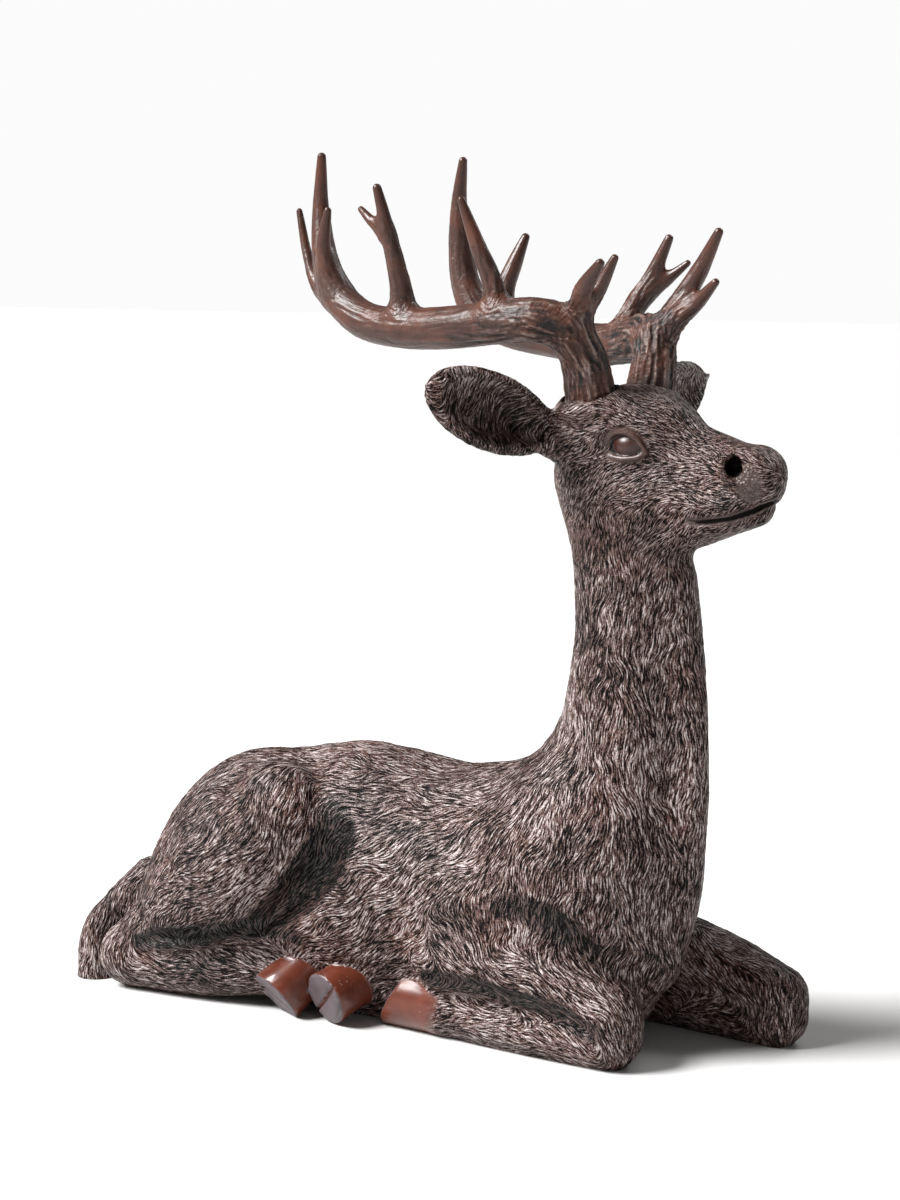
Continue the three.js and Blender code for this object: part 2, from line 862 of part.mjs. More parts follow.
function thinned({ points, faces }, target, care) {
  const quadrics = points.map(() => new Float64Array(10));
  const ring = points.map(() => new Set());
  const alive = faces.map(() => true);
  faces.forEach((f, i) => {
    const [p, q, r] = f.map((v) => points[v]);
    const n = faceNormal(p, q, r);
    const area = n.length() * care(p);
    n.normalize();
    const level = -(n.x * p[0] + n.y * p[1] + n.z * p[2]);
    for (const v of f) {
      ring[v].add(i);
      const [x, y, z] = points[v];
      const k = quadrics[v];
      const terms = [
        n.x * n.x + STAY,
        n.x * n.y,
        n.x * n.z,
        n.x * level - STAY * x,
        n.y * n.y + STAY,
        n.y * n.z,
        n.y * level - STAY * y,
        n.z * n.z + STAY,
        n.z * level - STAY * z,
        level * level + STAY * (x * x + y * y + z * z),
      ];
      for (let t = 0; t < 10; t++) k[t] += area * terms[t];
    }
  });

  // The best point for a pair, and what it costs.
  function meeting(a, b) {
    const [xx, xy, xz, x1, yy, yz, y1, zz, z1, one] = quadrics[a].map((v, i) => v + quadrics[b][i]);
    const c0 = yy * zz - yz * yz;
    const c1 = xz * yz - xy * zz;
    const c2 = xy * yz - xz * yy;
    const det = xx * c0 + xy * c1 + xz * c2;
    const x = -(c0 * x1 + c1 * y1 + c2 * z1) / det;
    const y = -(c1 * x1 + (xx * zz - xz * xz) * y1 + (xy * xz - xx * yz) * z1) / det;
    const z = -(c2 * x1 + (xy * xz - xx * yz) * y1 + (xx * yy - xy * xy) * z1) / det;
    return { at: [x, y, z], cost: x1 * x + y1 * y + z1 * z + one };
  }

  // A heap of pairs, the cheapest first.
  const heap = [];
  const version = new Int32Array(points.length);
  function push(a, b) {
    const entry = { a, b, stamp: version[a] + version[b], cost: meeting(a, b).cost };
    let i = heap.push(entry) - 1;
    while (i > 0) {
      const parent = (i - 1) >> 1;
      if (heap[parent].cost <= entry.cost) break;
      heap[i] = heap[parent];
      i = parent;
    }
    heap[i] = entry;
  }
  function pop() {
    const top = heap[0];
    const last = heap.pop();
    if (!heap.length) return top;
    let i = 0;
    for (;;) {
      let child = 2 * i + 1;
      if (child >= heap.length) break;
      if (child + 1 < heap.length && heap[child + 1].cost < heap[child].cost) child++;
      if (heap[child].cost >= last.cost) break;
      heap[i] = heap[child];
      i = child;
    }
    heap[i] = last;
    return top;
  }

  function neighbours(v) {
    const found = new Set();
    for (const f of ring[v]) for (const w of faces[f]) if (w !== v) found.add(w);
    return found;
  }
  // True if moving v to a new place turns one of its own triangles over.
  function turnsOver(v, other, at) {
    for (const f of ring[v]) {
      if (faces[f].includes(other)) continue;
      const before = faces[f].map((w) => points[w]);
      const after = faces[f].map((w) => (w === v ? at : points[w]));
      const n0 = faceNormal(...before);
      const n1 = faceNormal(...after);
      if (n0.dot(n1) < 0.3 * n0.length() * n1.length()) return true;
    }
    return false;
  }

  for (const [a, b, c] of faces) {
    if (a < b) push(a, b);
    if (b < c) push(b, c);
    if (c < a) push(c, a);
  }
  let left = faces.length;
  while (left > target && heap.length) {
    const { a, b, stamp } = pop();
    if (!ring[a].size || !ring[b].size || stamp !== version[a] + version[b]) continue;
    const near = neighbours(b);
    if (!near.has(a)) continue;
    if ([...neighbours(a)].filter((v) => near.has(v)).length !== 2) continue;
    const { at } = meeting(a, b);
    if (turnsOver(a, b, at) || turnsOver(b, a, at)) continue;
    for (const f of ring[b]) {
      if (faces[f].includes(a)) {
        alive[f] = false;
        for (const v of faces[f]) if (v !== b) ring[v].delete(f);
        left--;
      } else {
        faces[f] = faces[f].map((v) => (v === b ? a : v));
        ring[a].add(f);
      }
    }
    ring[b].clear();
    points[a] = at;
    for (let t = 0; t < 10; t++) quadrics[a][t] += quadrics[b][t];
    version[a] += version[b] + 1;
    for (const v of neighbours(a)) push(a, v);
  }
  return { points, faces: faces.filter((f, i) => alive[i]) };
}

// Solids, joined and cut.

function solid(geometry, matrix = new THREE.Matrix4()) {
  const bare = geometry.clone().applyMatrix4(matrix);
  bare.deleteAttribute("normal");
  bare.deleteAttribute("uv");
  const merged = mergeVertices(bare, 1e-4);
  return new wasm.Manifold(
    new wasm.Mesh({
      numProp: 3,
      vertProperties: new Float32Array(merged.attributes.position.array),
      triVerts: new Uint32Array(merged.index.array),
    }),
  );
}

function solidOf({ points, faces }, scale) {
  const geometry = new THREE.BufferGeometry()
    .setAttribute("position", new THREE.Float32BufferAttribute(points.flat(), 3))
    .setIndex(faces.flat());
  return solid(geometry, new THREE.Matrix4().makeScale(scale, scale, scale));
}

// A disc whose flat faces lie at two heights along the z of its frame.
function disc(radius, from, to, frame) {
  const shape = new THREE.CylinderGeometry(radius, radius, to - from, FOOT_FACETS);
  shape.rotateX(Math.PI / 2).translate(0, 0, (from + to) / 2);
  return solid(shape, frame);
}

function meshOf(name, made, material) {
  const { numProp, vertProperties, triVerts, numVert } = made.getMesh();
  const position = new Float32Array(numVert * 3);
  for (let i = 0; i < numVert; i++) {
    position.set(vertProperties.subarray(i * numProp, i * numProp + 3), 3 * i);
  }
  const geometry = new THREE.BufferGeometry()
    .setAttribute("position", new THREE.BufferAttribute(position, 3))
    .setIndex(new THREE.BufferAttribute(triVerts, 1));
  geometry.computeVertexNormals();
  const mesh = new THREE.Mesh(geometry, material);
  mesh.name = name;
  return mesh;
}

const stag = new Clay();
for (const form of [trunk, neck, hindquarters, foreLegs, tail, skull, pedicles]) form(stag);

// The face is meshed and kept finer than the rest.
const FACE = [
  [115, 320, 2.4],
  [-95, 30, 2.4],
  [405, 520, 2.4],
];
const FACE_MIDDLE = vector([206, -29, 462]);
const byTheFace = (p) => 1 + 5 * Math.exp(-Math.max(0, FACE_MIDDLE.distanceTo(vector(p)) - 110) / 30);

const body = thinned(skin(stag, BODY_CELL, FACE), BODY_TRIANGLES, byTheFace);
const antlers = Object.entries(ANTLERS).map(([name, stops]) => {
  const [beam, ...tines] = stops.map((line) => limb(line, { frame: head }));
  const clay = new Clay().add(1, beam).add(9, ...tines);
  return { name, foot: seat(stops), skin: thinned(skin(clay, ANTLER_CELL), ANTLER_TRIANGLES, () => 1) };
});

// Everything is brought to the wanted height, and only then cut to fit.
let drawnHeight = 0;
for (const { skin: surface } of antlers) {
  for (const v of surface.faces.flat()) drawnHeight = Math.max(drawnHeight, surface.points[v][2]);
}
const scale = STATUE_HEIGHT / drawnHeight;

const ground = solid(new THREE.BoxGeometry(2000, 2000, 500).translate(0, 0, -250));
let bodySolid = solidOf(body, scale).subtract(ground);
const castings = [];
for (const { name, foot, skin: surface } of antlers) {
  const frame = new THREE.Matrix4().makeScale(scale, scale, scale).multiply(foot);
  frame.scale(vector([1 / scale, 1 / scale, 1 / scale]));
  const floor = -SEAT_DEPTH / 2;
  bodySolid = bodySolid.subtract(
    disc(ANTLER_FOOT_RADIUS + SEAT_CLEARANCE, floor - SEAT_CLEARANCE, floor + 40, frame),
  );
  const below = disc(4 * ANTLER_FOOT_RADIUS, floor - 60, floor, frame);
  const sole = disc(ANTLER_FOOT_RADIUS, floor, floor + SEAT_DEPTH, frame);
  castings.push({ name, antler: solidOf(surface, scale).subtract(below).add(sole) });
}

// Cast resin, stained dark brown and dry-brushed with grey along the fur.
const bodyResin = new THREE.MeshStandardMaterial({ color: "#5f4e49", roughness: 0.5, metalness: 0 });
const antlerResin = new THREE.MeshStandardMaterial({ color: "#543c34", roughness: 0.38, metalness: 0 });

const group = new THREE.Group();
group.name = "lying_stag";
group.add(meshOf("stag", bodySolid, bodyResin));
for (const { name, antler } of castings) group.add(meshOf(name, antler, antlerResin));

export default group;
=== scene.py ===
import math
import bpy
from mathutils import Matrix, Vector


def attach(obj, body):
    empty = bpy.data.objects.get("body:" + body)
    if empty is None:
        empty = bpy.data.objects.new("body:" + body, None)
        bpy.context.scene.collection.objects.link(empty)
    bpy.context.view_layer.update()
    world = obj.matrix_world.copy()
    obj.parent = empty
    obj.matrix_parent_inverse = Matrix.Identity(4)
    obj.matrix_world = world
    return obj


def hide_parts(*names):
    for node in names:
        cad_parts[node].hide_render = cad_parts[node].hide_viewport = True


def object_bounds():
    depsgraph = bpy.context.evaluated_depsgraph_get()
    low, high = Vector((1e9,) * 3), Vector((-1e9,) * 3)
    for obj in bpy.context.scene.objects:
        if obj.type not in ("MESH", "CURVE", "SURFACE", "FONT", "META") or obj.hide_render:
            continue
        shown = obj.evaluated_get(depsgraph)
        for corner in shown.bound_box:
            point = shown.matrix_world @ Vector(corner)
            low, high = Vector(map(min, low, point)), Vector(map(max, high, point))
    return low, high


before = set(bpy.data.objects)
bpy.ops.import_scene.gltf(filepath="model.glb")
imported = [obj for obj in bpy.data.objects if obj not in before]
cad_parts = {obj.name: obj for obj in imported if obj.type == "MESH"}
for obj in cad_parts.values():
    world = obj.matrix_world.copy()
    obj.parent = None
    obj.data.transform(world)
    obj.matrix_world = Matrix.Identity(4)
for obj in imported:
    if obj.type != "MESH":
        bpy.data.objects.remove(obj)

from types import SimpleNamespace

import bpy
import numpy as np
from mathutils import Euler, Matrix, Vector

cad_low, cad_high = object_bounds()

# Studio. A pale floor under a sky as pale at its edge and dim above, a broad strong light from
# the camera's left, three softboxes, and a long lens that stands off the right fore quarter.
STATUE_HEIGHT = cad_high.z
DRAWN_HEIGHT = 692.4  # the pose and the camera below are drawn for a statue this tall, in mm
SCALE = STATUE_HEIGHT / DRAWN_HEIGHT  # metres for each drawn millimetre
FLOOR_SIZE = 30.0
FLOOR_WHITE = "#d2d1d0"
SKY_EDGE, SKY_TOP = (0.08, 0.97), (0.15, 0.12)  # height over the horizon, brightness
SUN_STRENGTH = 6.8
SUN_SPREAD = math.radians(30)
SUN_WAY = (0.6, 0.55, -0.8)
CAMERA_TURN = math.radians(31)
CAMERA_DIP = math.radians(7.6)
CAMERA_PLACE = (1158.8, -1928.6, 638)


def linear(hex_colour):
    """The linear colour of an sRGB hex value."""
    parts = [int(hex_colour[i:i + 2], 16) / 255 for i in (1, 3, 5)]
    return [c / 12.92 if c <= 0.04045 else ((c + 0.055) / 1.055) ** 2.4 for c in parts] + [1.0]


def node(tree, kind, inputs=(), **settings):
    """Adds a node. Inputs are (socket, value or the output to link) pairs."""
    made = tree.nodes.new(kind)
    for name, value in settings.items():
        setattr(made, name, value)
    for socket, value in inputs:
        if isinstance(value, bpy.types.NodeSocket):
            tree.links.new(value, made.inputs[socket])
        else:
            made.inputs[socket].default_value = value
    return made


def new_material(name):
    material = bpy.data.materials.new(name)
    material.use_nodes = True
    material.node_tree.nodes.clear()
    return material


def put(name, data, place=(0, 0, 0), way=None):
    """Adds an object of the studio, turned to look a way if one is given."""
    made = bpy.data.objects.new(name, data)
    made.location = place
    if way is not None:
        made.rotation_mode = "QUATERNION"
        made.rotation_quaternion = Vector(way).to_track_quat("-Z", "Y")
    bpy.context.scene.collection.objects.link(made)
    return made


floor_mesh = bpy.data.meshes.new("studio_floor")
half = FLOOR_SIZE / 2
floor_corners = [(-half, -half, 0), (half, -half, 0), (half, half, 0), (-half, half, 0)]
floor_mesh.from_pydata(floor_corners, [], [(0, 1, 2, 3)])
studio_floor = put("studio_floor", floor_mesh)
floor_paint = new_material("matt white paint")
tree = floor_paint.node_tree
shader = node(tree, "ShaderNodeBsdfPrincipled", [("Base Color", linear(FLOOR_WHITE)), ("Roughness", 0.9)])
node(tree, "ShaderNodeOutputMaterial", [("Surface", shader.outputs["BSDF"])])
floor_mesh.materials.append(floor_paint)

studio_air = bpy.data.worlds.new("studio_air")
bpy.context.scene.world = studio_air
studio_air.use_nodes = True
tree = studio_air.node_tree
tree.nodes.clear()
air = node(tree, "ShaderNodeTexCoord")
height = node(tree, "ShaderNodeSeparateXYZ", [("Vector", air.outputs["Generated"])])
level = node(tree, "ShaderNodeMapRange", [
    ("Value", height.outputs["Z"]),
    ("From Min", SKY_EDGE[0]), ("From Max", SKY_TOP[0]), ("To Min", SKY_EDGE[1]), ("To Max", SKY_TOP[1]),
])
air = node(tree, "ShaderNodeBackground", [
    ("Color", (1.0, 1.0, 1.0, 1.0)), ("Strength", level.outputs["Result"]),
])
node(tree, "ShaderNodeOutputWorld", [("Surface", air.outputs["Background"])])

overhead = bpy.data.lights.new("overhead_light", "SUN")
overhead.energy = SUN_STRENGTH
overhead.angle = SUN_SPREAD
put("overhead_light", overhead, way=SUN_WAY)

# Each soft light: name, place, what it looks at, side in metres, watts.
for name, place, aim, side, watts in [
    ("key_softbox", (-0.9, -1.2, 1.9), (-0.05, -0.05, 0.2), 0.7, 26),
    ("side_softbox", (1.9, -1.6, 1.0), (0.1, 0.0, 0.4), 0.5, 2),
    ("back_softbox", (0.5, 1.6, 1.8), (0.0, 0.0, 0.4), 0.8, 14),
]:
    light = bpy.data.lights.new(name, "AREA")
    light.size = side
    light.energy = watts
    put(name, light, place, Vector(aim) - Vector(place))

forward = Vector((
    -math.sin(CAMERA_TURN) * math.cos(CAMERA_DIP),
    math.cos(CAMERA_TURN) * math.cos(CAMERA_DIP),
    -math.sin(CAMERA_DIP),
))
camera_data = bpy.data.cameras.new("portrait_lens")
camera_data.lens = 85
camera_data.sensor_width = 36
bpy.context.scene.camera = put("camera", camera_data, SCALE * Vector(CAMERA_PLACE), forward)
bpy.context.scene.view_settings.view_transform = "Standard"

# Stag. One hollow casting of filled polyester resin, from a mould of a clay model: rounded
# forms of clay pressed on or carved away, then combed all over with a small gouge for fur.
# Drawn in millimetres: +X is the way the stag faces, +Y its left, +Z up.
FAR = 1e4  # a distance beyond every shape, in mm
SIDES = (-1, 1)  # the stag's right and left
STILL = Matrix()


def turned(*degrees):
    return Euler([math.radians(a) for a in degrees]).to_matrix().to_4x4()


def egg(centre, radii, turn=(0, 0, 0), place=STILL):
    """An egg with its own three radii, turned in degrees about x, y and z."""
    place = place @ Matrix.Translation(centre) @ turned(*turn)
    back = np.array(place.inverted(), np.float32)
    radii = np.array(radii, np.float32)

    def distance(p):
        q = p @ back[:3, :3].T + back[:3, 3]
        near = np.sqrt(((q / radii) ** 2).sum(1))
        slope = np.sqrt(((q / radii**2) ** 2).sum(1))
        return np.where(slope > 1e-9, near * (near - 1) / np.maximum(slope, 1e-9), -radii.min())

    return SimpleNamespace(centre=np.array(place.translation), reach=float(radii.max()), distance=distance)


def smooth_line(points, pieces):
    """Points along a centripetal curve through the given ones, with so many pieces a span."""
    ends = [2 * points[0] - points[1], *points, 2 * points[-1] - points[-2]]
    line = []
    for four in zip(ends, ends[1:], ends[2:], ends[3:]):
        p0, p1, p2, p3 = four
        t0, t1, t2 = (max(math.sqrt(np.linalg.norm(b - a)), 1e-4) for a, b in zip(four, four[1:]))
        m1 = t1 * ((p1 - p0) / t0 - (p2 - p0) / (t0 + t1) + (p2 - p1) / t1)
        m2 = t1 * ((p2 - p1) / t1 - (p3 - p1) / (t1 + t2) + (p3 - p2) / t2)
        for t in np.arange(pieces) / pieces:
            line.append(p1 + m1 * t + (3 * (p2 - p1) - 2 * m1 - m2) * t**2 + (2 * (p1 - p2) + m1 + m2) * t**3)
    return np.array([*line, points[-1]])


def limb(stops, thin=1.0, across=(0, 1, 0), pieces=4, place=STILL):
    """A tapering limb. Each stop is (x, y, z, radius), and it is thinner one way by the share thin."""
    line = smooth_line([np.array(place @ Vector(s[:3])) for s in stops], pieces)
    at = np.arange(len(line)) / pieces
    radius = np.interp(at, np.arange(len(stops)), [s[3] for s in stops])
    centre = (line.min(0) + line.max(0)) / 2
    n = np.array((place.to_3x3() @ Vector(across)).normalized(), np.float32)
    stretch = 1 / thin - 1
    steps = np.diff(line, axis=0)
    bones = []
    for start, step, r0, r1 in zip(line, steps, radius, radius[1:]):
        d = step + stretch * (step @ n) * n
        bones.append((start.astype(np.float32), d.astype(np.float32), np.float32(d @ d), r0, r1 - r0))

    def gaps(p):
        for start, d, length2, r0, grow in bones:
            q = p - start
            if stretch:
                q += (stretch * (q @ n))[:, None] * n
            t = np.clip(q @ d / length2, 0, 1)
            q -= t[:, None] * d
            yield np.sqrt(np.einsum("ij,ij->i", q, q)) - np.float32(r0) - t * np.float32(grow)

    def distance(p):
        nearest = np.full(len(p), FAR, np.float32)
        for gap in gaps(p):
            np.minimum(nearest, gap, out=nearest)
        return nearest * thin

    reach = np.linalg.norm(line - centre, axis=1).max() + radius.max()
    return SimpleNamespace(centre=centre, reach=reach, distance=distance, gaps=gaps, steps=steps)


def slab(point, normal, place=STILL):
    """Everything beyond a plane."""
    n = (place.to_3x3() @ Vector(normal)).normalized()
    level = (place @ Vector(point)).dot(n)
    n = np.array(n, np.float32)
    return SimpleNamespace(centre=np.zeros(3), reach=FAR, distance=lambda p: level - p @ n)


def puck(radius, low, high, place):
    """A flat round disc along the z of its place."""
    back = np.array(place.inverted(), np.float32)

    def distance(p):
        q = p @ back[:3, :3].T + back[:3, 3]
        beyond_side = np.hypot(q[:, 0], q[:, 1]) - radius
        return np.maximum(beyond_side, np.abs(q[:, 2] - (low + high) / 2) - (high - low) / 2)

    reach = math.hypot(radius, high - low)
    middle = place @ Vector((0, 0, (low + high) / 2))
    return SimpleNamespace(centre=np.array(middle), reach=reach, distance=distance)


class Clay:
    """Shapes in the order in which they are pressed on or cut away, each blended over its own width."""

    def __init__(self):
        self.work = []

    def add(self, blend, *shapes):
        self.work += [(shape, blend, False) for shape in shapes]
        return self

    def cut(self, blend, *shapes):
        self.work += [(shape, blend, True) for shape in shapes]
        return self

    def distance(self, p, margin=FAR):
        """Distance to the surface, right within margin of it and FAR or too large beyond."""
        d = np.full(len(p), FAR, np.float32)
        for shape, blend, cut in self.work:
            outside = np.sqrt(((p - shape.centre.astype(np.float32)) ** 2).sum(1)) - shape.reach
            near = np.flatnonzero(outside <= (blend - d if cut else np.minimum(d, margin) + blend))
            if not len(near):
                continue
            old = d[near]
            other = shape.distance(p[near])
            if cut:
                other = -other
            mix = np.maximum(blend - np.abs(old - other), 0) / blend
            fillet = mix * mix * blend / 4
            d[near] = np.maximum(old, other) + fillet if cut else np.minimum(old, other) - fillet
        return d

    def box(self):
        held = [(s.centre, s.reach) for s, blend, cut in self.work if not cut]
        return np.min([c - r for c, r in held], axis=0), np.max([c + r for c, r in held], axis=0)

    def shape(self):
        low, high = self.box()
        return SimpleNamespace(
            centre=(low + high) / 2, reach=np.linalg.norm(high - low) / 2, distance=self.distance
        )


def pad(flat_points):
    """float32 rows of three."""
    return np.ascontiguousarray(flat_points, np.float32).reshape(-1, 3)


BLOCK = 4  # cells along a side of the blocks that are looked at first
TETRAHEDRA = [(0, 1, 3, 7), (0, 1, 5, 7), (0, 2, 3, 7), (0, 2, 6, 7), (0, 4, 5, 7), (0, 4, 6, 7)]


def grid_lines(low, high, cell, fine):
    """Grid lines one cell apart. Fine is (from, to, the smaller cell between them)."""
    found = [low - 2 * cell]
    while found[-1] < high + 2 * cell or (len(found) - 1) % BLOCK:
        close = fine and fine[0] < found[-1] < fine[1]
        found.append(found[-1] + (fine[2] if close else cell))
    return np.array(found)


def skin(clay, cell, fine=(None, None, None)):
    """The clay's surface by marching tetrahedra, as points and triangles."""
    low, high = clay.box()
    xs, ys, zs = (grid_lines(low[m], high[m], cell, fine[m]) for m in range(3))
    edges = [g[::BLOCK] for g in (xs, ys, zs)]
    middles = np.meshgrid(*[(e[1:] + e[:-1]) / 2 for e in edges], indexing="ij")
    sides = np.meshgrid(*[np.diff(e) for e in edges], indexing="ij")
    radius = np.sqrt(sum(s**2 for s in sides)) / 2
    reached = clay.distance(pad(np.stack([m.ravel() for m in middles], 1)), 2.5 * radius.max())
    blocks = np.abs(reached.reshape(radius.shape)) < 2 * radius
    cells = blocks.repeat(BLOCK, 0).repeat(BLOCK, 1).repeat(BLOCK, 2)
    wanted = np.zeros([n + 1 for n in cells.shape], bool)
    corners = [(c & 1, c >> 1 & 1, c >> 2 & 1) for c in range(8)]
    for i, j, k in corners:
        wanted[i:i + cells.shape[0], j:j + cells.shape[1], k:k + cells.shape[2]] |= cells
    size = wanted.shape
    at = np.flatnonzero(wanted)
    value = np.full(wanted.size, FAR, np.float32)
    for part in np.array_split(at, max(1, len(at) // 300000)):
        i, j, k = np.unravel_index(part, size)
        value[part] = clay.distance(pad(np.stack([xs[i], ys[j], zs[k]], 1)), 3 * cell)
    value[np.abs(value) < 1e-3] = 1e-3

    inside = (value < 0).reshape(size)
    count = np.zeros(cells.shape, np.uint8)
    for i, j, k in corners:
        count += inside[i:i + cells.shape[0], j:j + cells.shape[1], k:k + cells.shape[2]]
    i, j, k = np.nonzero(cells & (count > 0) & (count < 8))
    base = np.ravel_multi_index((i, j, k), size)
    offset = np.array([np.ravel_multi_index(c, size) for c in corners])
    pairs, outward = [], []
    for tetra in TETRAHEDRA:
        ids = base[:, None] + offset[list(tetra)]
        within = value[ids] < 0
        order = np.argsort(~within, axis=1, kind="stable")
        ids = np.take_along_axis(ids, order, 1)
        kept = within.sum(1)
        for sunk_corners, faces in (
            (1, [((0, 1), (0, 2), (0, 3))]),
            (3, [((0, 3), (1, 3), (2, 3))]),
            (2, [((0, 2), (0, 3), (1, 3)), ((0, 2), (1, 3), (1, 2))]),
        ):
            chosen = ids[kept == sunk_corners]
            for face in faces:
                pairs.append(np.stack([np.sort(chosen[:, list(pair)], axis=1) for pair in face], 1))
                outward.append(chosen[:, [0, 3]])
    pairs, outward = np.concatenate(pairs), np.concatenate(outward)
    keys, faces = np.unique(pairs[..., 0] * 10**9 + pairs[..., 1], return_inverse=True)
    faces = faces.reshape(-1, 3)

    def spot(ids):
        i, j, k = np.unravel_index(ids, size)
        return np.stack([xs[i], ys[j], zs[k]], -1)

    a, b = keys // 10**9, keys % 10**9
    share = value[a] / (value[a] - value[b])
    points = spot(a) + share[:, None] * (spot(b) - spot(a))
    corner = points[faces]
    normal = np.cross(corner[:, 1] - corner[:, 0], corner[:, 2] - corner[:, 0])
    wrong = np.einsum("ij,ij->i", normal, spot(outward[:, 1]) - spot(outward[:, 0])) < 0
    faces[wrong] = faces[wrong][:, ::-1]
    return points, faces


def settle(clay, points, rounds=1):
    """Moves points onto the clay's surface, and gives the surface's direction there."""
    step = 0.35
    p = pad(points)
    for pass_number in range(rounds + 1):
        here = clay.distance(p, 12)
        ahead = [clay.distance(p + pad(step * np.eye(3)[m]), 12) for m in range(3)]
        slope = np.stack([there - here for there in ahead], 1) / step
        length2 = np.maximum((slope**2).sum(1), 0.25)
        if pass_number < rounds:
            p = p - np.clip(here / length2, -1.5, 1.5)[:, None] * slope
    return p, slope / np.sqrt(length2)[:, None]


def trunk(clay):
    clay.add(
        24,
        egg((-196, -44, 106), (110, 60, 55), (0, -56, 0)),
        limb([(-146, -30, 112, 92), (-70, -14, 114, 105), (30, -8, 106, 100), (110, -12, 108, 88)],
             thin=0.8),
        egg((-20, -12, 24), (200, 48, 34), (0, 0, 4)),
    )
    clay.add(34, egg((76, -12, 172), (50, 34, 36)), egg((155, -20, 120), (65, 60, 96), (0, 6, -8)))


def neck(clay):
    clay.add(40, limb(
        [(150, -18, 170, 72), (172, -22, 250, 55), (181, -27, 330, 49), (176, -30, 400, 47),
         (161, -30, 448, 46)],
        thin=0.88, across=(0.16, 0.99, 0),
    ))
    clay.add(26, limb(
        [(226, -40, 372, 7), (234, -36, 300, 8), (237, -32, 220, 9), (226, -30, 140, 10), (204, -26, 70, 12)]
    ))


def upright(at, up, across):
    """The place at a point whose z runs up and whose x is nearest to a direction across."""
    z = Vector(up).normalized()
    x = Vector(across)
    x = (x - x.dot(z) * z).normalized()
    place = Matrix((x, z.cross(x), z)).transposed().to_4x4()
    place.translation = at
    return place


def hoof(sole, outward, cleft, radius):
    """A cloven hoof on its side, with its flat sole facing out and split by a cleft."""
    place = upright(sole, outward, cleft)
    clay = Clay().add(4, limb([(0, 0, -40, radius - 3), (0, 0, radius, radius + 1)], place=place))
    clay.cut(1.5, slab((0, 0, 0), (0, 0, 1), place), egg((0, 0, 2), (radius + 8, 1.8, 6), place=place))
    return clay.shape()


def fore_hoof(root, run):
    """A fore hoof that lies along the ground, cut off square where its sole is."""
    end = [a + b for a, b in zip(root, run)]
    clay = Clay().add(2, limb([(*root, 25), (*end, 26)]))
    cleft = egg((end[0] + 16, end[1], root[2]), (14, 1.8, 40))
    clay.cut(2, slab((end[0], end[1], 0), FORE_SOLE_WAY), cleft)
    return clay.shape()


# Each hind hoof: middle of its sole, the way that faces, across its cleft, radius.
# Each fore hoof: its root, and from there to its end on the ground.
HIND_HOOVES = [
    ((-112, -87, 15), (-0.4, -0.7, -0.6), (1, -0.15, -0.35), 24),
    ((-62, -91, 22), (-0.35, -0.88, -0.3), (-0.74, 0, -0.68), 22.5),
]
FORE_HOOVES = [((34, -59, 24), (-62, 9, 0)), ((110, 60, 24), (-62, -4, 0))]
FORE_SOLE_WAY = (-0.85, 0, 0.53)
hooves = [hoof(*h) for h in HIND_HOOVES] + [fore_hoof(*h) for h in FORE_HOOVES]

# The deep folds between the folded limbs and the body, carved as limbs of empty space.
HAUNCH_CREASE = limb([
    (-72, -90, 206, 8), (-60, -94, 186, 13), (-54, -97, 162, 17), (-64, -97, 134, 17),
    (-84, -95, 108, 15), (-110, -93, 86, 11), (-138, -93, 72, 7),
])
SHANK_CREASE = limb([
    (-240, -104, 46, 4), (-211, -107, 55, 6), (-185, -105, 60, 7), (-160, -102, 66, 7), (-138, -96, 72, 7),
    (-110, -97, 73, 6), (-89, -94, 66, 4),
])
FOREARM_CREASE = limb([
    (66, -104, 112, 4), (105, -103, 118, 9), (135, -100, 113, 10), (160, -93, 101, 9), (186, -85, 82, 5)
])
CANNON_CREASES = [
    limb([(34, -92, 52, 4), (60, -99, 50, 7), (104, -102, 46, 8), (150, -102, 41, 7), (186, -102, 32, 4)]),
    limb([(128, 88, 50, 4), (190, 92, 45, 7), (246, 84, 38, 4)]),
]


def hindquarters(clay):
    clay.cut(10, HAUNCH_CREASE)
    clay.add(
        4,
        limb([(-117, -72, 164, 45), (-164, -76, 114, 57), (-222, -76, 62, 36), (-272, -72, 30, 24)],
             thin=0.82),
        limb([(-110, 16, 150, 44), (-158, 22, 108, 57), (-216, 18, 58, 38), (-262, 4, 28, 27)],
             thin=0.82),
    )
    clay.add(
        5,
        limb([(-270, -72, 27, 27), (-190, -68, 28, 27), (-130, -62, 34, 25)]),
        limb([(-262, 4, 26, 26), (-190, -16, 24, 25), (-116, -34, 28, 24), (-66, -50, 32, 22)]),
    )
    clay.cut(5, SHANK_CREASE)
    clay.add(3, *hooves[:2])


def fore_legs(clay):
    clay.add(
        36,
        egg((118, -58, 142), (44, 24, 66), (0, 14, -6)),
        egg((118, 30, 142), (44, 24, 66), (0, 14, 6)),
        egg((62, -50, 92), (40, 34, 40)),
        egg((104, 40, 92), (40, 34, 40)),
    )
    clay.cut(9, FOREARM_CREASE)
    clay.add(
        8,
        limb([(42, -66, 68, 33), (86, -71, 66, 29), (150, -72, 54, 27), (184, -72, 38, 28)]),
        limb([(104, 56, 76, 34), (160, 58, 66, 31), (226, 54, 52, 28), (268, 50, 38, 26)]),
    )
    clay.add(
        4,
        limb([(184, -72, 24, 27), (100, -66, 21, 24), (34, -59, 23, 24)]),
        limb([(268, 50, 23, 26), (180, 58, 22, 23), (110, 60, 24, 23)]),
        *hooves[2:],
    )
    clay.cut(5, *CANNON_CREASES)


def tail(clay):
    clay.add(6, limb([(-262, -48, 84, 24), (-300, -54, 58, 15), (-315, -60, 38, 14), (-315, -62, 4, 17)]))


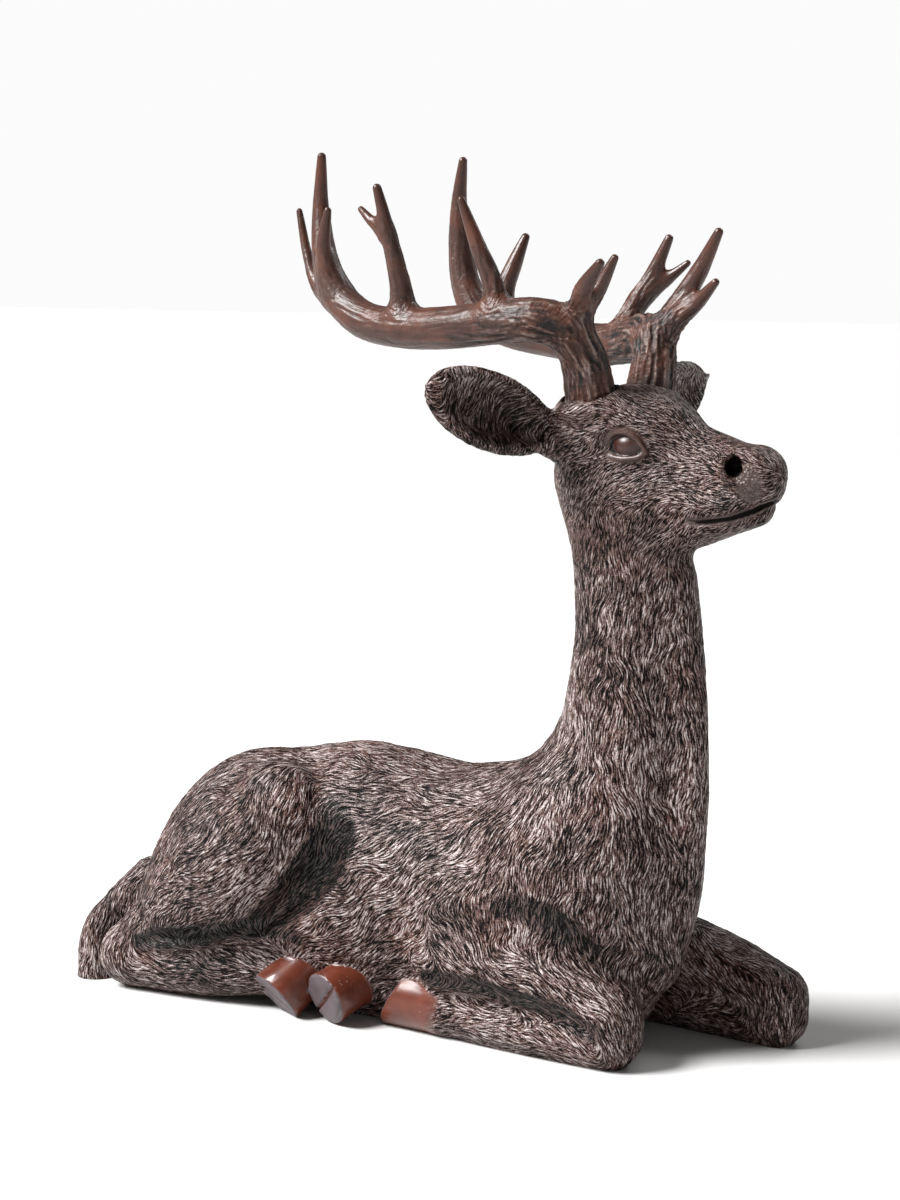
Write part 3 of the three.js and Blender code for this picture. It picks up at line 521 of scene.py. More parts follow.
# The head is drawn in a place of its own: x along the muzzle, y to the stag's left.
HEAD = Matrix.Translation((176, -29, 462)) @ turned(0, 3, -11)


def sided(stops, side):
    return [(x, side * y, z, r) for x, y, z, r in stops]


eyeballs = [egg((21, side * 27.5, 13.5), (13, 11.5, 10), place=HEAD) for side in SIDES]
LIDS = [
    [(3, 36, 8, 1.8), (8, 37.5, 17, 2.2), (15, 38.5, 22.5, 2.4), (25, 37.5, 23.5, 2.3), (33.5, 34.5, 18.5, 2),
     (39.5, 31.5, 9.5, 1.5)],
    [(3, 36, 8, 1.8), (11, 37.5, 4.5, 2), (22, 37, 3.2, 2.1), (32, 34, 5, 1.9), (39.5, 31.5, 9.5, 1.5)],
]
eyelids = [limb(sided(lid, side), place=HEAD) for side in SIDES for lid in LIDS]
MOUTH = [
    (74, 22.5, -38, 1.4), (82, 21.5, -38.3, 2.4), (90, 20.5, -36.9, 2.8), (103, 18.8, -34.3, 3),
    (115, 16, -30.4, 3), (126, 12, -24.9, 2.8), (133, 6.5, -20, 2.6), (136, 0, -17.5, 2.4),
]
LIP_GAP = 0.62  # how much of the mouth's drawn width stays open between the lips
RIM = [
    (112, 23, 16, 1.8), (105.5, 25, 13, 2.4), (104, 25, 5, 2.8), (107.5, 24.5, -3, 2.8),
    (115, 22.5, -6, 2.4), (122, 19, -5, 1.8),
]
mouths = [
    limb([(x, y, z, r * LIP_GAP) for x, y, z, r in sided(MOUTH, side)], place=HEAD) for side in SIDES
]
nostrils = [egg((113, side * 23, 6.5), (6, 9, 7.5), (0, 0, side * -16), HEAD) for side in SIDES]


def face(clay, side):
    def line(stops):
        return limb(sided(stops, side), place=HEAD)

    clay.add(
        14,
        egg((12, side * 21, -26), (34, 17, 27), (0, 20, 0), HEAD),
        egg((-10, side * 23, 24), (38, 25, 27), place=HEAD),
    )
    clay.add(
        10,
        line([(40, 10, -32, 10), (66, 15, -29, 9), (90, 14, -23.5, 9.5), (110, 11, -16, 10),
              (125, 5, -9, 10)]),
        line([(50, 8, -46, 8), (70, 13, -45, 6), (94, 10.5, -38.5, 6.5), (110, 7, -32, 7),
              (120, 3, -27, 7)]),
        egg((114, side * 12, 5), (17, 9.5, 14), (0, 0, side * -12), HEAD),
    )
    clay.cut(2, mouths[SIDES.index(side)])
    clay.cut(2.5, nostrils[SIDES.index(side)])
    clay.cut(2, line([(113, 22, 6, 4), (121, 19, 1.5, 1.5)]))
    clay.add(3, line(RIM), egg((124, side * 14.5, 5), (4, 5, 5), place=HEAD))
    clay.cut(6, egg((20.5, side * 42, 13), (17, 8, 11.5), (0, 0, side * -8), HEAD))
    clay.cut(4, egg((43, side * 31, 9), (5, 3.5, 2.5), (0, 20, 0), HEAD))
    clay.add(9, line([(-4, 32, 26, 5), (12, 33, 33, 6), (32, 28, 30, 6), (46, 22, 19, 5)]))
    clay.add(1, eyeballs[SIDES.index(side)])
    clay.add(2, *eyelids[:2] if side < 0 else eyelids[2:])
    clay.add(10, line([(-22, 24, 8, 20), (-38, 46, 12, 15), (-45, 62, 18, 11)]))


def skull(clay):
    clay.add(
        16,
        egg((-2, 0, 8), (46, 37, 42), place=HEAD),
        egg((28, 0, 24), (30, 29, 27), (0, 16, 0), HEAD),
        limb([(36, 0, 12, 26), (75, 0, 6, 22.5), (101, 0, 2, 20.5), (116, 0, -1, 18)], thin=0.85, place=HEAD),
        limb(
            [(-4, 0, -20, 38), (30, 0, -34, 32), (60, 0, -42, 20), (80, 0, -41, 14), (98, 0, -36, 10.5),
             (112, 0, -30, 9), (121, 0, -26, 8)],
            thin=0.85, place=HEAD,
        ),
        limb([(30, 0, -14, 31), (70, 0, -15, 23), (98, 0, -12, 18), (112, 0, -8, 15)], thin=0.92, place=HEAD),
    )
    clay.add(8, egg((122, 0, 2), (19, 17, 15), place=HEAD))


EAR_TIPS = {-1: (-64, -156, 54), 1: (-50, 150, 48)}
ears = {}
for side, tip in EAR_TIPS.items():
    root = Vector((-38, side * 40, 12))
    along = (Vector(tip) - root).normalized()
    front = Vector((1, side * 0.1, -0.05))
    front = (front - front.dot(along) * along).normalized()
    place = Matrix((along, front.cross(along), front)).transposed().to_4x4()
    place.translation = root
    ears[side] = SimpleNamespace(place=HEAD @ place, length=(Vector(tip) - root).length)


def ear_hollows(one):
    return [
        egg((0.56 * one.length, 0, 19), (0.45 * one.length, 26, 19), place=one.place),
        egg((0.36 * one.length, 0, 12), (0.22 * one.length, 14, 17), place=one.place),
    ]


def ear(clay, side):
    """A leaf-shaped ear, hollowed on its front and deepest near its root."""
    place, length = ears[side].place, ears[side].length
    clay.add(4, egg((0.54 * length, 0, 0), (0.5 * length, 30, 15), place=place))
    if side > 0:
        point = [(0.6 * length, 0, 2, 20), (0.84 * length, 0, 2, 12), (1.08 * length, 0, 2, 3)]
        clay.add(4, limb(point, thin=0.5, across=(0, 0, 1), place=place))
    clay.cut(4, *ear_hollows(ears[side]))


# The antlers' lines, in the head's place. A beam's first stops set the middle of its foot
# and the way it stands. The tines follow the beam.
BEAMS = {
    "antler_right": [
        [(-16, -30, 43, 20), (-20, -38, 77, 18), (-30, -50, 96, 18), (-47, -62, 101, 18),
         (-86, -68, 96, 17), (-125, -70, 90, 17), (-172, -72, 86, 16), (-212, -72, 89, 15),
         (-244, -70, 106, 14), (-261, -68, 131, 11), (-273, -63, 171, 7), (-275, -62, 212.8, 3.5)],
        [(-80, -70, 98, 12), (-81, -71, 122, 9), (-93, -78, 154, 6.5), (-106, -84, 187, 3)],
        [(-170, -73, 92, 12.5), (-173, -75, 118, 9), (-179, -82, 153, 6.5), (-189, -88, 192, 3.5)],
        [(-184, -84, 158, 5), (-196, -86, 167, 4), (-209, -84, 175, 2.5)],
        [(-246, -72, 110, 9), (-252, -80, 141, 6.5), (-245, -84, 172, 3)],
        [(-250, -68, 102, 8.5), (-268, -66, 108, 6), (-287, -62, 134, 4.5), (-300, -60, 169, 2.5)],
        [(-26, -46, 90, 12.5), (-20, -46, 106, 10), (-6, -58, 126, 7.5), (12, -62, 147, 3.5)],
        [(-20, -44, 104, 8.5), (-8, -38, 126, 6.5), (3, -34, 150, 3)],
    ],
    "antler_left": [
        [(-8, 30, 43, 20), (-11, 38, 75, 18), (-24, 49, 88, 18), (-59, 66, 80, 18), (-92, 72, 75, 17),
         (-134, 72, 77, 17), (-185, 70, 81, 16), (-216, 68, 90, 14.5), (-233, 68, 114, 12.5),
         (-241, 68, 146, 10), (-242, 66, 178, 7), (-236, 62, 213, 3.5)],
        [(-14, 42, 84, 12.5), (-4, 50, 108, 10), (13, 58, 141, 7), (27, 60, 170, 3.5)],
        [(-4, 46, 98, 9), (16, 50, 115, 6.5), (34, 50, 133, 3)],
        [(-66, 69, 84, 12), (-65, 74, 100, 10), (-55, 84, 128, 7), (-43, 90, 161, 3.5)],
        [(-60, 80, 112, 6.5), (-46, 90, 127, 5.5), (-28, 96, 143, 2.5)],
        [(-192, 70, 90, 11), (-194, 72, 111, 8.5), (-191, 80, 134, 6.5), (-188, 88, 154, 3.5)],
    ],
}
FOOT_RADIUS = 21.5
SEAT_FLOOR = -3  # below the middle of the foot
SEAT_GAP = 0.8  # round the foot
SEAT_GAP_BELOW = 0.3


def seat(beams):
    """Where an antler stands: the middle of its foot, with z up along the foot."""
    first, second = (Vector(s[:3]) for s in beams[0][:2])
    return HEAD @ upright(first, second - first, (1, 0, 0))


stag_clay = Clay()
for form in (trunk, neck, hindquarters, fore_legs, tail, skull):
    form(stag_clay)
for side in SIDES:
    face(stag_clay, side)
    ear(stag_clay, side)
for beams in BEAMS.values():
    stag_clay.add(9, egg((0, 0, -3), (28, 28, 13), place=seat(beams)))  # the brow round a foot
for beams in BEAMS.values():
    stag_clay.cut(0.6, puck(FOOT_RADIUS + SEAT_GAP, SEAT_FLOOR - SEAT_GAP_BELOW, 40, seat(beams)))
stag_clay.cut(0.5, slab((0, 0, 0), (0, 0, -1)))

# The mesh is cut from cells of so many mm, smaller ones in the box round the face.
COARSE = 1.0
CELL = 2.3 * COARSE
FACE_CELL = 1.3 * COARSE
ANTLER_CELL = 1.9 * COARSE
FACE_BOX = [(115, 320), (-95, 30), (405, 520)]
stag_points, stag_faces = skin(stag_clay, CELL, [(*span, FACE_CELL) for span in FACE_BOX])
stag_points, stag_normals = settle(stag_clay, stag_points)
stag_points = np.clip(stag_points, np.array(cad_low) / SCALE, np.array(cad_high) / SCALE)

# The way the fur is combed: at a point of the body the hair runs this way, over a reach of
# so many millimetres. The marks in the head's place follow.
COMBING = [
    ((176, -75, 400), (-0.1, 0, -1), 40), ((180, -75, 330), (0, 0, -1), 45),
    ((170, -80, 260), (-0.05, 0, -1), 45), ((232, -40, 380), (-0.1, 0, -1), 30),
    ((235, -36, 300), (0.05, 0, -1), 40), ((237, -34, 200), (0, 0, -1), 40),
    ((135, -20, 330), (-0.15, 0, -1), 40), ((120, -20, 260), (-0.4, 0, -0.9), 35),
    ((180, 30, 330), (0, 0, -1), 45), ((215, -60, 120), (0, -0.1, -1), 45),
    ((205, 20, 120), (0, 0.1, -1), 45), ((130, -90, 170), (-0.35, 0, -0.95), 40),
    ((75, -60, 205), (-0.75, 0, -0.6), 40), ((80, 40, 205), (-0.75, 0, -0.6), 40),
    ((110, -90, 110), (-0.3, 0, -0.95), 35), ((130, 70, 150), (-0.4, 0, -0.9), 45),
    ((10, -40, 205), (-0.95, 0, -0.25), 45), ((10, 40, 200), (-0.95, 0, -0.25), 45),
    ((-60, -20, 215), (-1, 0, 0), 45), ((-110, -30, 200), (-0.95, 0, -0.2), 35),
    ((20, -88, 140), (-0.75, 0, -0.65), 40), ((-30, -95, 110), (-0.85, 0, -0.5), 40),
    ((0, -90, 70), (-0.8, 0, -0.55), 35), ((0, 80, 110), (-0.85, 0, -0.5), 60),
    ((-100, 75, 110), (-0.7, 0, -0.7), 60), ((60, -85, 90), (0.75, 0, -0.6), 26),
    ((110, -90, 70), (0.95, 0, -0.25), 24), ((160, -95, 55), (0.9, 0, -0.4), 24),
    ((200, -85, 35), (0.15, 0, -1), 18), ((160, -90, 22), (-0.9, 0, 0.3), 20),
    ((80, -85, 22), (-1, 0, 0.05), 24), ((180, 60, 70), (0.95, 0, -0.3), 35),
    ((240, 55, 60), (0.85, 0, -0.5), 25), ((285, 50, 30), (0.1, 0, -1), 20),
    ((220, 60, 20), (-1, 0, 0.1), 25), ((-100, -100, 185), (-0.2, -0.2, -0.95), 26),
    ((-85, -100, 140), (-0.35, 0, -0.95), 24), ((-150, -110, 150), (-0.75, 0, -0.65), 30),
    ((-120, -115, 110), (-0.75, 0, -0.65), 26), ((-180, -110, 100), (-0.9, 0, -0.35), 26),
    ((-200, -100, 150), (-0.55, 0, -0.85), 30), ((-230, -90, 90), (-0.6, 0, -0.8), 28),
    ((-265, -80, 60), (-0.5, 0, -0.85), 24), ((-285, -80, 25), (0.2, 0, -1), 16),
    ((-220, -90, 35), (1, 0, -0.1), 22), ((-150, -85, 40), (0.95, 0, -0.3), 22),
    ((-260, -40, 130), (-0.6, 0, -0.8), 40), ((-230, 60, 100), (-0.7, 0, -0.7), 50),
    ((-305, -55, 50), (-0.2, 0, -1), 25), ((-310, -60, 15), (0, 0, -1), 20),
]
HEAD_COMBING = [
    ((20, 0, 52), (-1, 0, 0.1), 22), ((70, 0, 30), (-1, 0, 0.25), 24),
    ((105, 0, 22), (-1, 0, 0.1), 18), ((-25, 0, 45), (-0.8, 0, -0.5), 22),
    ((-40, 0, 10), (-0.3, 0, -1), 25), ((95, 0, -45), (-1, 0, -0.2), 18),
    ((50, 0, -60), (-1, 0, -0.1), 20), ((5, 0, -65), (-0.7, 0, -0.7), 24),
    *[
        mark
        for side in SIDES
        for mark in (
            ((20, side * 36, -22), (-0.8, 0, -0.6), 18), ((55, side * 28, -10), (-0.95, 0, -0.3), 16),
            ((85, side * 24, -8), (-1, 0, 0.05), 14), ((50, side * 27, 14), (-0.95, 0, 0.2), 12),
            ((-8, side * 42, -8), (-0.85, 0, -0.5), 16), ((15, side * 30, 42), (-0.9, side * 0.3, 0.2), 12),
            ((-20, side * 42, -34), (-0.5, 0, -0.9), 20), ((10, side * 36, -48), (-0.6, 0, -0.8), 16),
            ((-14, side * 42, 22), (-0.95, side * 0.2, 0.05), 12),
            ((52, side * 18, -46), (-0.95, 0, -0.3), 12),
        )
    ],
]
marks = [(np.array(at), Vector(way), reach) for at, way, reach in COMBING]
for at, way, reach in HEAD_COMBING:
    marks.append((np.array(HEAD @ Vector(at)), HEAD.to_3x3() @ Vector(way), reach))
for side, one in ears.items():
    for share, across, lift, way in (
        (0.3, 0, -16, (1, 0, 0)), (0.6, 0, -16, (1, 0, 0)), (0.9, 0, -8, (1, 0, 0)),
        (0.35, 10, 10, (0.6, -0.8, 0)), (0.35, -10, 10, (-0.5, -0.8, 0)), (0.6, 14, 12, (0.1, -1, 0)),
        (0.6, -2, 6, (-0.2, -1, 0)), (0.6, -14, 12, (-0.8, -0.6, 0)), (0.82, 6, 10, (-0.3, -0.9, 0)),
    ):
        at = one.place @ Vector((share * one.length, side * across, lift))
        marks.append((np.array(at), one.place.to_3x3() @ Vector((way[0], side * way[1], 0)), 12))


def waves(p, length, seed):
    """A smooth unevenness between about -1 and 1, whose swells are about so long in mm."""
    dice = np.random.default_rng(seed)
    total = np.zeros(len(p))
    for _ in range(6):
        way = dice.normal(size=3)
        way *= 2 * math.pi / (length * dice.uniform(0.7, 1.5) * np.linalg.norm(way))
        total += np.sin(p @ way + dice.uniform(0, 2 * math.pi))
    return total / 2.6


def combed(p, normals):
    """The way the hair runs at each point, along the surface."""
    way = np.zeros_like(p, dtype=np.float64)
    for at, direction, reach in marks:
        weight = 1 / (1 + ((p - at) ** 2).sum(1) / reach**2) ** 4
        way += weight[:, None] * np.array(direction.normalized())
    way -= np.einsum("ij,ij->i", way, normals)[:, None] * normals
    way /= np.maximum(np.linalg.norm(way, axis=1), 1e-6)[:, None]
    turn = 0.3 * waves(p, 38, 5) + 0.22 * waves(p, 17, 6)
    side_way = np.cross(normals, way)
    return way * np.cos(turn)[:, None] + side_way * np.sin(turn)[:, None]


def mesh_of(name, points, faces):
    mesh = bpy.data.meshes.new(name)
    mesh.vertices.add(len(points))
    mesh.vertices.foreach_set("co", np.ascontiguousarray(points * SCALE, np.float32).ravel())
    mesh.loops.add(3 * len(faces))
    mesh.loops.foreach_set("vertex_index", faces.astype(np.int32).ravel())
    mesh.polygons.add(len(faces))
    mesh.polygons.foreach_set("loop_start", np.arange(0, 3 * len(faces), 3, dtype=np.int32))
    mesh.update(calc_edges=True)
    return mesh


def keep_on(mesh, name, values):
    """Keeps a number or a vector for each point of a mesh, for its material to read."""
    values = np.ascontiguousarray(values, np.float32)
    kind, field = ("FLOAT_VECTOR", "vector") if values.ndim == 2 else ("FLOAT", "value")
    mesh.attributes.new(name, kind, "POINT").data.foreach_set(field, values.ravel())


def ramp_up(value, low, high):
    t = np.clip((value - low) / (high - low), 0, 1)
    return t * t * (3 - 2 * t)


def combed_noise(tree, place, way, width, strokes):
    """Strokes of fur or grain: fine noise smeared along the way it is combed, from 0 to 1.
    Width is that of one stroke in mm, and strokes how many widths it is long."""
    total = None
    for n in range(strokes):
        shift = (n - (strokes - 1) / 2) * width * 0.5 * 0.001
        moved = node(tree, "ShaderNodeVectorMath", [
            (0, way), (1, (shift,) * 3), (2, place),
        ], operation="MULTIPLY_ADD")
        speckle = node(tree, "ShaderNodeTexNoise", [
            ("Vector", moved.outputs[0]), ("Scale", 1000 / (0.62 * width)), ("Detail", 0.0),
        ])
        value = speckle.outputs["Fac"] if "Fac" in speckle.outputs else speckle.outputs[0]
        if total is not None:
            value = node(tree, "ShaderNodeMath", [(0, total), (1, value)]).outputs[0]
        total = value
    contrast = 1.05 * math.sqrt(strokes)
    level = node(tree, "ShaderNodeMath", [
        (0, total), (1, contrast / strokes), (2, 0.5 - contrast / 2),
    ], operation="MULTIPLY_ADD")
    level.use_clamp = True
    return level.outputs[0]


# The gouge's cuts: depth and width of one in mm, how many widths it is long, and the kept
# number that says how much of it there is.
STROKE_CUT = (1.1, 3.4, 8, "body_fur")
FACE_CUT = (0.5, 2.0, 7, "head_fur")
LOCK_CUT = (1.0, 7.5, 6, "body_fur")
GROOVE_WIDTH, GROOVE_RUN = 5.6, 14
GROOVE_CUT = (2.6, GROOVE_WIDTH, GROOVE_RUN, "grooved")
STAG_TRIANGLES, ANTLER_TRIANGLES = 190000, 90000


def carve(name, points, faces, kept, cuts, most):
    """Cuts the combed strokes into a mesh, then thins it to the most triangles."""
    mesh = mesh_of(name, points, faces)
    keep_on(mesh, "model_place", points * SCALE)
    for key, values in kept.items():
        keep_on(mesh, key, values)
    piece = bpy.data.objects.new(name, mesh)
    bpy.context.scene.collection.objects.link(piece)
    tree = bpy.data.node_groups.new(name + " gouge", "GeometryNodeTree")
    tree.interface.new_socket("Mesh", in_out="INPUT", socket_type="NodeSocketGeometry")
    tree.interface.new_socket("Mesh", in_out="OUTPUT", socket_type="NodeSocketGeometry")
    source = node(tree, "NodeGroupInput")

    def named(key, kind):
        made = node(tree, "GeometryNodeInputNamedAttribute", [("Name", key)], data_type=kind)
        return made.outputs["Attribute"]

    place, way = named("model_place", "FLOAT_VECTOR"), named("comb", "FLOAT_VECTOR")
    sunk = None
    for depth, width, run, share in cuts:
        stroke = combed_noise(tree, place, way, width, run)
        down = node(tree, "ShaderNodeMath", [(0, stroke), (1, -1.0)]).outputs[0]
        for factor in (depth * SCALE, named(share, "FLOAT")):
            down = node(tree, "ShaderNodeMath", [(0, down), (1, factor)], operation="MULTIPLY").outputs[0]
        if sunk is not None:
            down = node(tree, "ShaderNodeMath", [(0, sunk), (1, down)]).outputs[0]
        sunk = down
    offset = node(tree, "ShaderNodeVectorMath", [
        (0, named("outward", "FLOAT_VECTOR")), ("Scale", sunk),
    ], operation="SCALE")
    # The last cut's own height is kept too, for the paint to lie on.
    stored = node(tree, "GeometryNodeStoreNamedAttribute", [
        ("Geometry", source.outputs[0]), ("Name", "lock"), ("Value", stroke),
    ], data_type="FLOAT", domain="POINT")
    moved = node(tree, "GeometryNodeSetPosition", [
        ("Geometry", stored.outputs[0]), ("Offset", offset.outputs[0]),
    ])
    node(tree, "NodeGroupOutput", [(0, moved.outputs[0])])
    piece.modifiers.new("gouge", "NODES").node_group = tree
    if len(faces) > most:
        thin = piece.modifiers.new("thin", "DECIMATE")
        thin.ratio = most / len(faces)
    done = bpy.data.meshes.new_from_object(piece.evaluated_get(bpy.context.evaluated_depsgraph_get()))
    piece.modifiers.clear()
    piece.data = done
    done.name = name
    done.shade_smooth()
    return piece


MOST_AWAY = 12


def away(shapes, p, most=MOST_AWAY):
    """Distance from the nearest of some shapes, in mm, up to a most."""
    found = np.full(len(p), float(most), np.float32)
    for shape in shapes:
        near = np.flatnonzero(np.linalg.norm(p - shape.centre, axis=1) < shape.reach + most)
        if len(near):
            found[near] = np.minimum(found[near], shape.distance(pad(p[near])))
    return found


p = stag_points
in_head = (p - np.array(HEAD.translation)) @ np.array(HEAD.to_3x3())
head_eggs = [egg((0, 0, 0), (75, 60, 66), place=HEAD), egg((60, 0, -10), (90, 50, 60), place=HEAD)]
head_share = ramp_up(-away(head_eggs, p, 40), -26, 4)
head_share *= 1 - ramp_up(np.abs(in_head[:, 1]), 46, 60)
horn = away(hooves, p)
ball = away(eyeballs, p)
lid = away(eyelids, p)
lips = away(mouths, p)
nostril = away(nostrils, p)
nose_pad = away([egg((121, 0, -3), (15, 24, 21), place=HEAD)], p)
hollow = np.full(len(p), float(MOST_AWAY))
for one in ears.values():
    hollow = np.minimum(hollow, np.abs(away(ear_hollows(one), p)))
sole = np.full(len(p), float(MOST_AWAY))
for at, out, *_ in HIND_HOOVES:
    sole = np.minimum(sole, np.abs((p - np.array(at)) @ np.array(Vector(out).normalized())))
for root, run in FORE_HOOVES:
    end = (root[0] + run[0], root[1] + run[1], 0)
    sole = np.minimum(sole, np.abs((p - np.array(end)) @ np.array(FORE_SOLE_WAY)))
furred = ramp_up(horn, 0.6, 2.0) * ramp_up(p[:, 2], 0.3, 3.0)
furred *= ramp_up(ball, 0.5, 2) * ramp_up(nostril, 0.5, 3)
furred *= ramp_up(lid, 0.5, 2.5) * ramp_up(lips, 1.0, 4.0) * ramp_up(nose_pad, 0.0, 4.0)
kept = {
    "outward": stag_normals,
    "comb": combed(p, stag_normals),
    "head": head_share,
    "body_fur": furred * (1 - head_share),
    "head_fur": furred * head_share,
    "furred": furred,
    "horn": horn,
    "ball": ball,
    "lid": lid,
    "lips": lips,
    "nostril": nostril,
    "nose_pad": nose_pad,
    "hollow": hollow,
    "crease_shade": away([HAUNCH_CREASE, SHANK_CREASE, FOREARM_CREASE, *CANNON_CREASES], p),
    "sole": np.where(horn < 2, sole, MOST_AWAY),
}
cuts = [STROKE_CUT, FACE_CUT, LOCK_CUT]
stag = carve("stag_casting", stag_points, stag_faces, kept, cuts, STAG_TRIANGLES)

# Painted polyester resin: a dark brown stain that stays deep in the cuts, warm red-brown
# where it thins, grey over the raised strokes that is partly dry-brush paint and partly
# painted sheen, painted shade in the deep folds, and a satin lacquer over all.
resin = new_material("stained polyester resin")
tree = resin.node_tree


def number(key):
    return node(tree, "ShaderNodeAttribute", attribute_name=key).outputs["Fac"]


def vector_of(key):
    return node(tree, "ShaderNodeAttribute", attribute_name=key).outputs["Vector"]


def maths(operation, *values):
    return node(tree, "ShaderNodeMath", list(enumerate(values)), operation=operation).outputs[0]


def mixed(share, first, second):
    return node(tree, "ShaderNodeMix", [(0, share), (2, first), (3, second)], data_type="FLOAT").outputs[0]


def between(value, low, high, to_low=0.0, to_high=1.0):
    """A smooth step of a number from one level to another."""
    return node(tree, "ShaderNodeMapRange", [
        ("Value", value), ("From Min", low), ("From Max", high), ("To Min", to_low), ("To Max", to_high),
    ], interpolation_type="SMOOTHSTEP").outputs["Result"]


def blend_colour(share, first, second):
    return node(tree, "ShaderNodeMix", [(0, share), (6, first), (7, second)], data_type="RGBA").outputs[2]


def noise(place, size, detail=2.0, rough=0.5):
    """Plain noise whose lumps are about so many mm across."""
    return node(tree, "ShaderNodeTexNoise", [
        ("Vector", place), ("Scale", 1000 / (2 * size)), ("Detail", detail), ("Roughness", rough),
    ]).outputs["Fac"]


place, way = vector_of("model_place"), vector_of("comb")
head = number("head")
furred = number("furred")
stroke = combed_noise(tree, place, way, 1.9, 6)
hair = combed_noise(tree, place, way, 1.3, 5)
fine = combed_noise(tree, place, way, 1.4, 5)
lock = number("lock")
body_relief = maths("ADD", maths("MULTIPLY", stroke, 0.6), maths("MULTIPLY", lock, 0.1))
body_relief = maths("ADD", body_relief, maths("MULTIPLY", hair, 0.3))
head_relief = maths("ADD", maths("MULTIPLY", fine, 0.75), maths("MULTIPLY", noise(place, 1.1), 0.25))
relief = mixed(head, body_relief, head_relief)

# Painted shade: in and beside the deep folds the fur is darkened towards near-black and kept less grey.
crease_shade = between(number("crease_shade"), 0.5, 8.0, 1.0, 0.0)
patches = noise(place, 32, 3.0, 0.6)
worn = noise(place, 9, 3.0, 0.6)
paint = maths("ADD", relief, maths("MULTIPLY", maths("SUBTRACT", patches, 0.5), 0.34))
paint = maths("ADD", paint, maths("MULTIPLY", maths("SUBTRACT", worn, 0.5), 0.16))
paint = maths("MULTIPLY_ADD", crease_shade, -0.12, paint)
stain = blend_colour(between(paint, 0.4, 0.56), linear("#040202"), linear("#513a34"))
warm = between(noise(place, 26, 2.0), 0.5, 0.68)
warm = maths("MULTIPLY", warm, between(paint, 0.42, 0.54))
stain = blend_colour(maths("MULTIPLY", warm, 0.35), stain, linear("#5e3527"))
# Grey over the raised strokes: partly dry-brush paint, partly painted sheen.
brushed_and_sheen = maths("MULTIPLY", between(paint, 0.53, 0.76), maths("MULTIPLY_ADD", head, -0.35, 0.78))
brushed_and_sheen = maths("MULTIPLY", brushed_and_sheen, maths("MULTIPLY_ADD", crease_shade, -0.9, 1.0))
fur_colour = blend_colour(brushed_and_sheen, stain, linear("#c0b6b4"))
fur_colour = blend_colour(maths("MULTIPLY", crease_shade, 0.25), fur_colour, linear("#080403"))

# Hooves: smooth, warmer and glossier, with pale dust in their pores.
horn_share = between(number("horn"), 0.4, 1.1, 1.0, 0.0)
horn_tone = blend_colour(noise(place, 7, 4.0, 0.6), linear("#2f140e"), linear("#6f3320"))
dust = node(tree, "ShaderNodeTexVoronoi", [("Vector", place), ("Scale", 1000 / 3.2)])
specks = between(dust.outputs["Distance"], 0.08, 0.16, 1.0, 0.0)
dust_share = maths("MULTIPLY", specks, between(noise(place, 5), 0.5, 0.6))
horn_tone = blend_colour(maths("MULTIPLY", dust_share, 0.6), horn_tone, linear("#a99d97"))
# The soles' purple-grey is partly their own matt tone and partly painted bounce light from the pale floor.
sole_share = between(number("sole"), 0.5, 1.3, 1.0, 0.0)
sole_tone_and_bounce = blend_colour(noise(place, 6, 3.0), linear("#352b2e"), linear("#5f5357"))
horn_tone = blend_colour(sole_share, horn_tone, sole_tone_and_bounce)
colour = blend_colour(horn_share, fur_colour, horn_tone)

# Nose, lips, eyelids, eyes and the ears' hollows.
pad_share = between(number("nose_pad"), -0.5, 2.0, 1.0, 0.0)
pad_tone = blend_colour(worn, linear("#1a0f0c"), linear("#4e3a33"))
colour = blend_colour(maths("MULTIPLY", pad_share, 0.8), colour, pad_tone)
lip_share = between(number("lips"), 0.8, 3.6, 1.0, 0.0)
colour = blend_colour(maths("MULTIPLY", lip_share, 0.75), colour, linear("#34201b"))
# Painted shade: the slit between the lips is painted near-black.
mouth_slit_shade = between(number("lips"), 0.35, 1.0, 1.0, 0.0)
colour = blend_colour(mouth_slit_shade, colour, linear("#050202"))
lid_share = between(number("lid"), 0.4, 2.4, 1.0, 0.0)
colour = blend_colour(maths("MULTIPLY", lid_share, 0.85), colour, linear("#3c241c"))
# Painted shade: a near-black ring where the eyeball meets the lids.
eye_rim_shade = maths("MULTIPLY", between(number("ball"), 2.6, 4.0, 1.0, 0.0), between(number("lid"), 0.15, 0.9))
colour = blend_colour(maths("MULTIPLY", eye_rim_shade, 0.9), colour, linear("#080403"))
ball_share = between(number("ball"), 0.2, 0.5, 1.0, 0.0)
colour = blend_colour(ball_share, colour, linear("#341711"))
# Painted shade: the nostrils are painted near-black inside.
nostril_shade = between(number("nostril"), 0.3, 1.4, 1.0, 0.0)
colour = blend_colour(nostril_shade, colour, linear("#070302"))
# Painted shade: the ears' hollows are darkened, with near-black painted in the gaps between the strokes
# inside them.
ear_hollow_shade = between(number("hollow"), 0.5, 2.5, 1.0, 0.0)
colour = blend_colour(maths("MULTIPLY", ear_hollow_shade, 0.3), colour, linear("#0e0706"))
ear_groove_shade = maths("MULTIPLY", ear_hollow_shade, between(stroke, 0.4, 0.56, 1.0, 0.0))
colour = blend_colour(maths("MULTIPLY", ear_groove_shade, 0.6), colour, linear("#020101"))

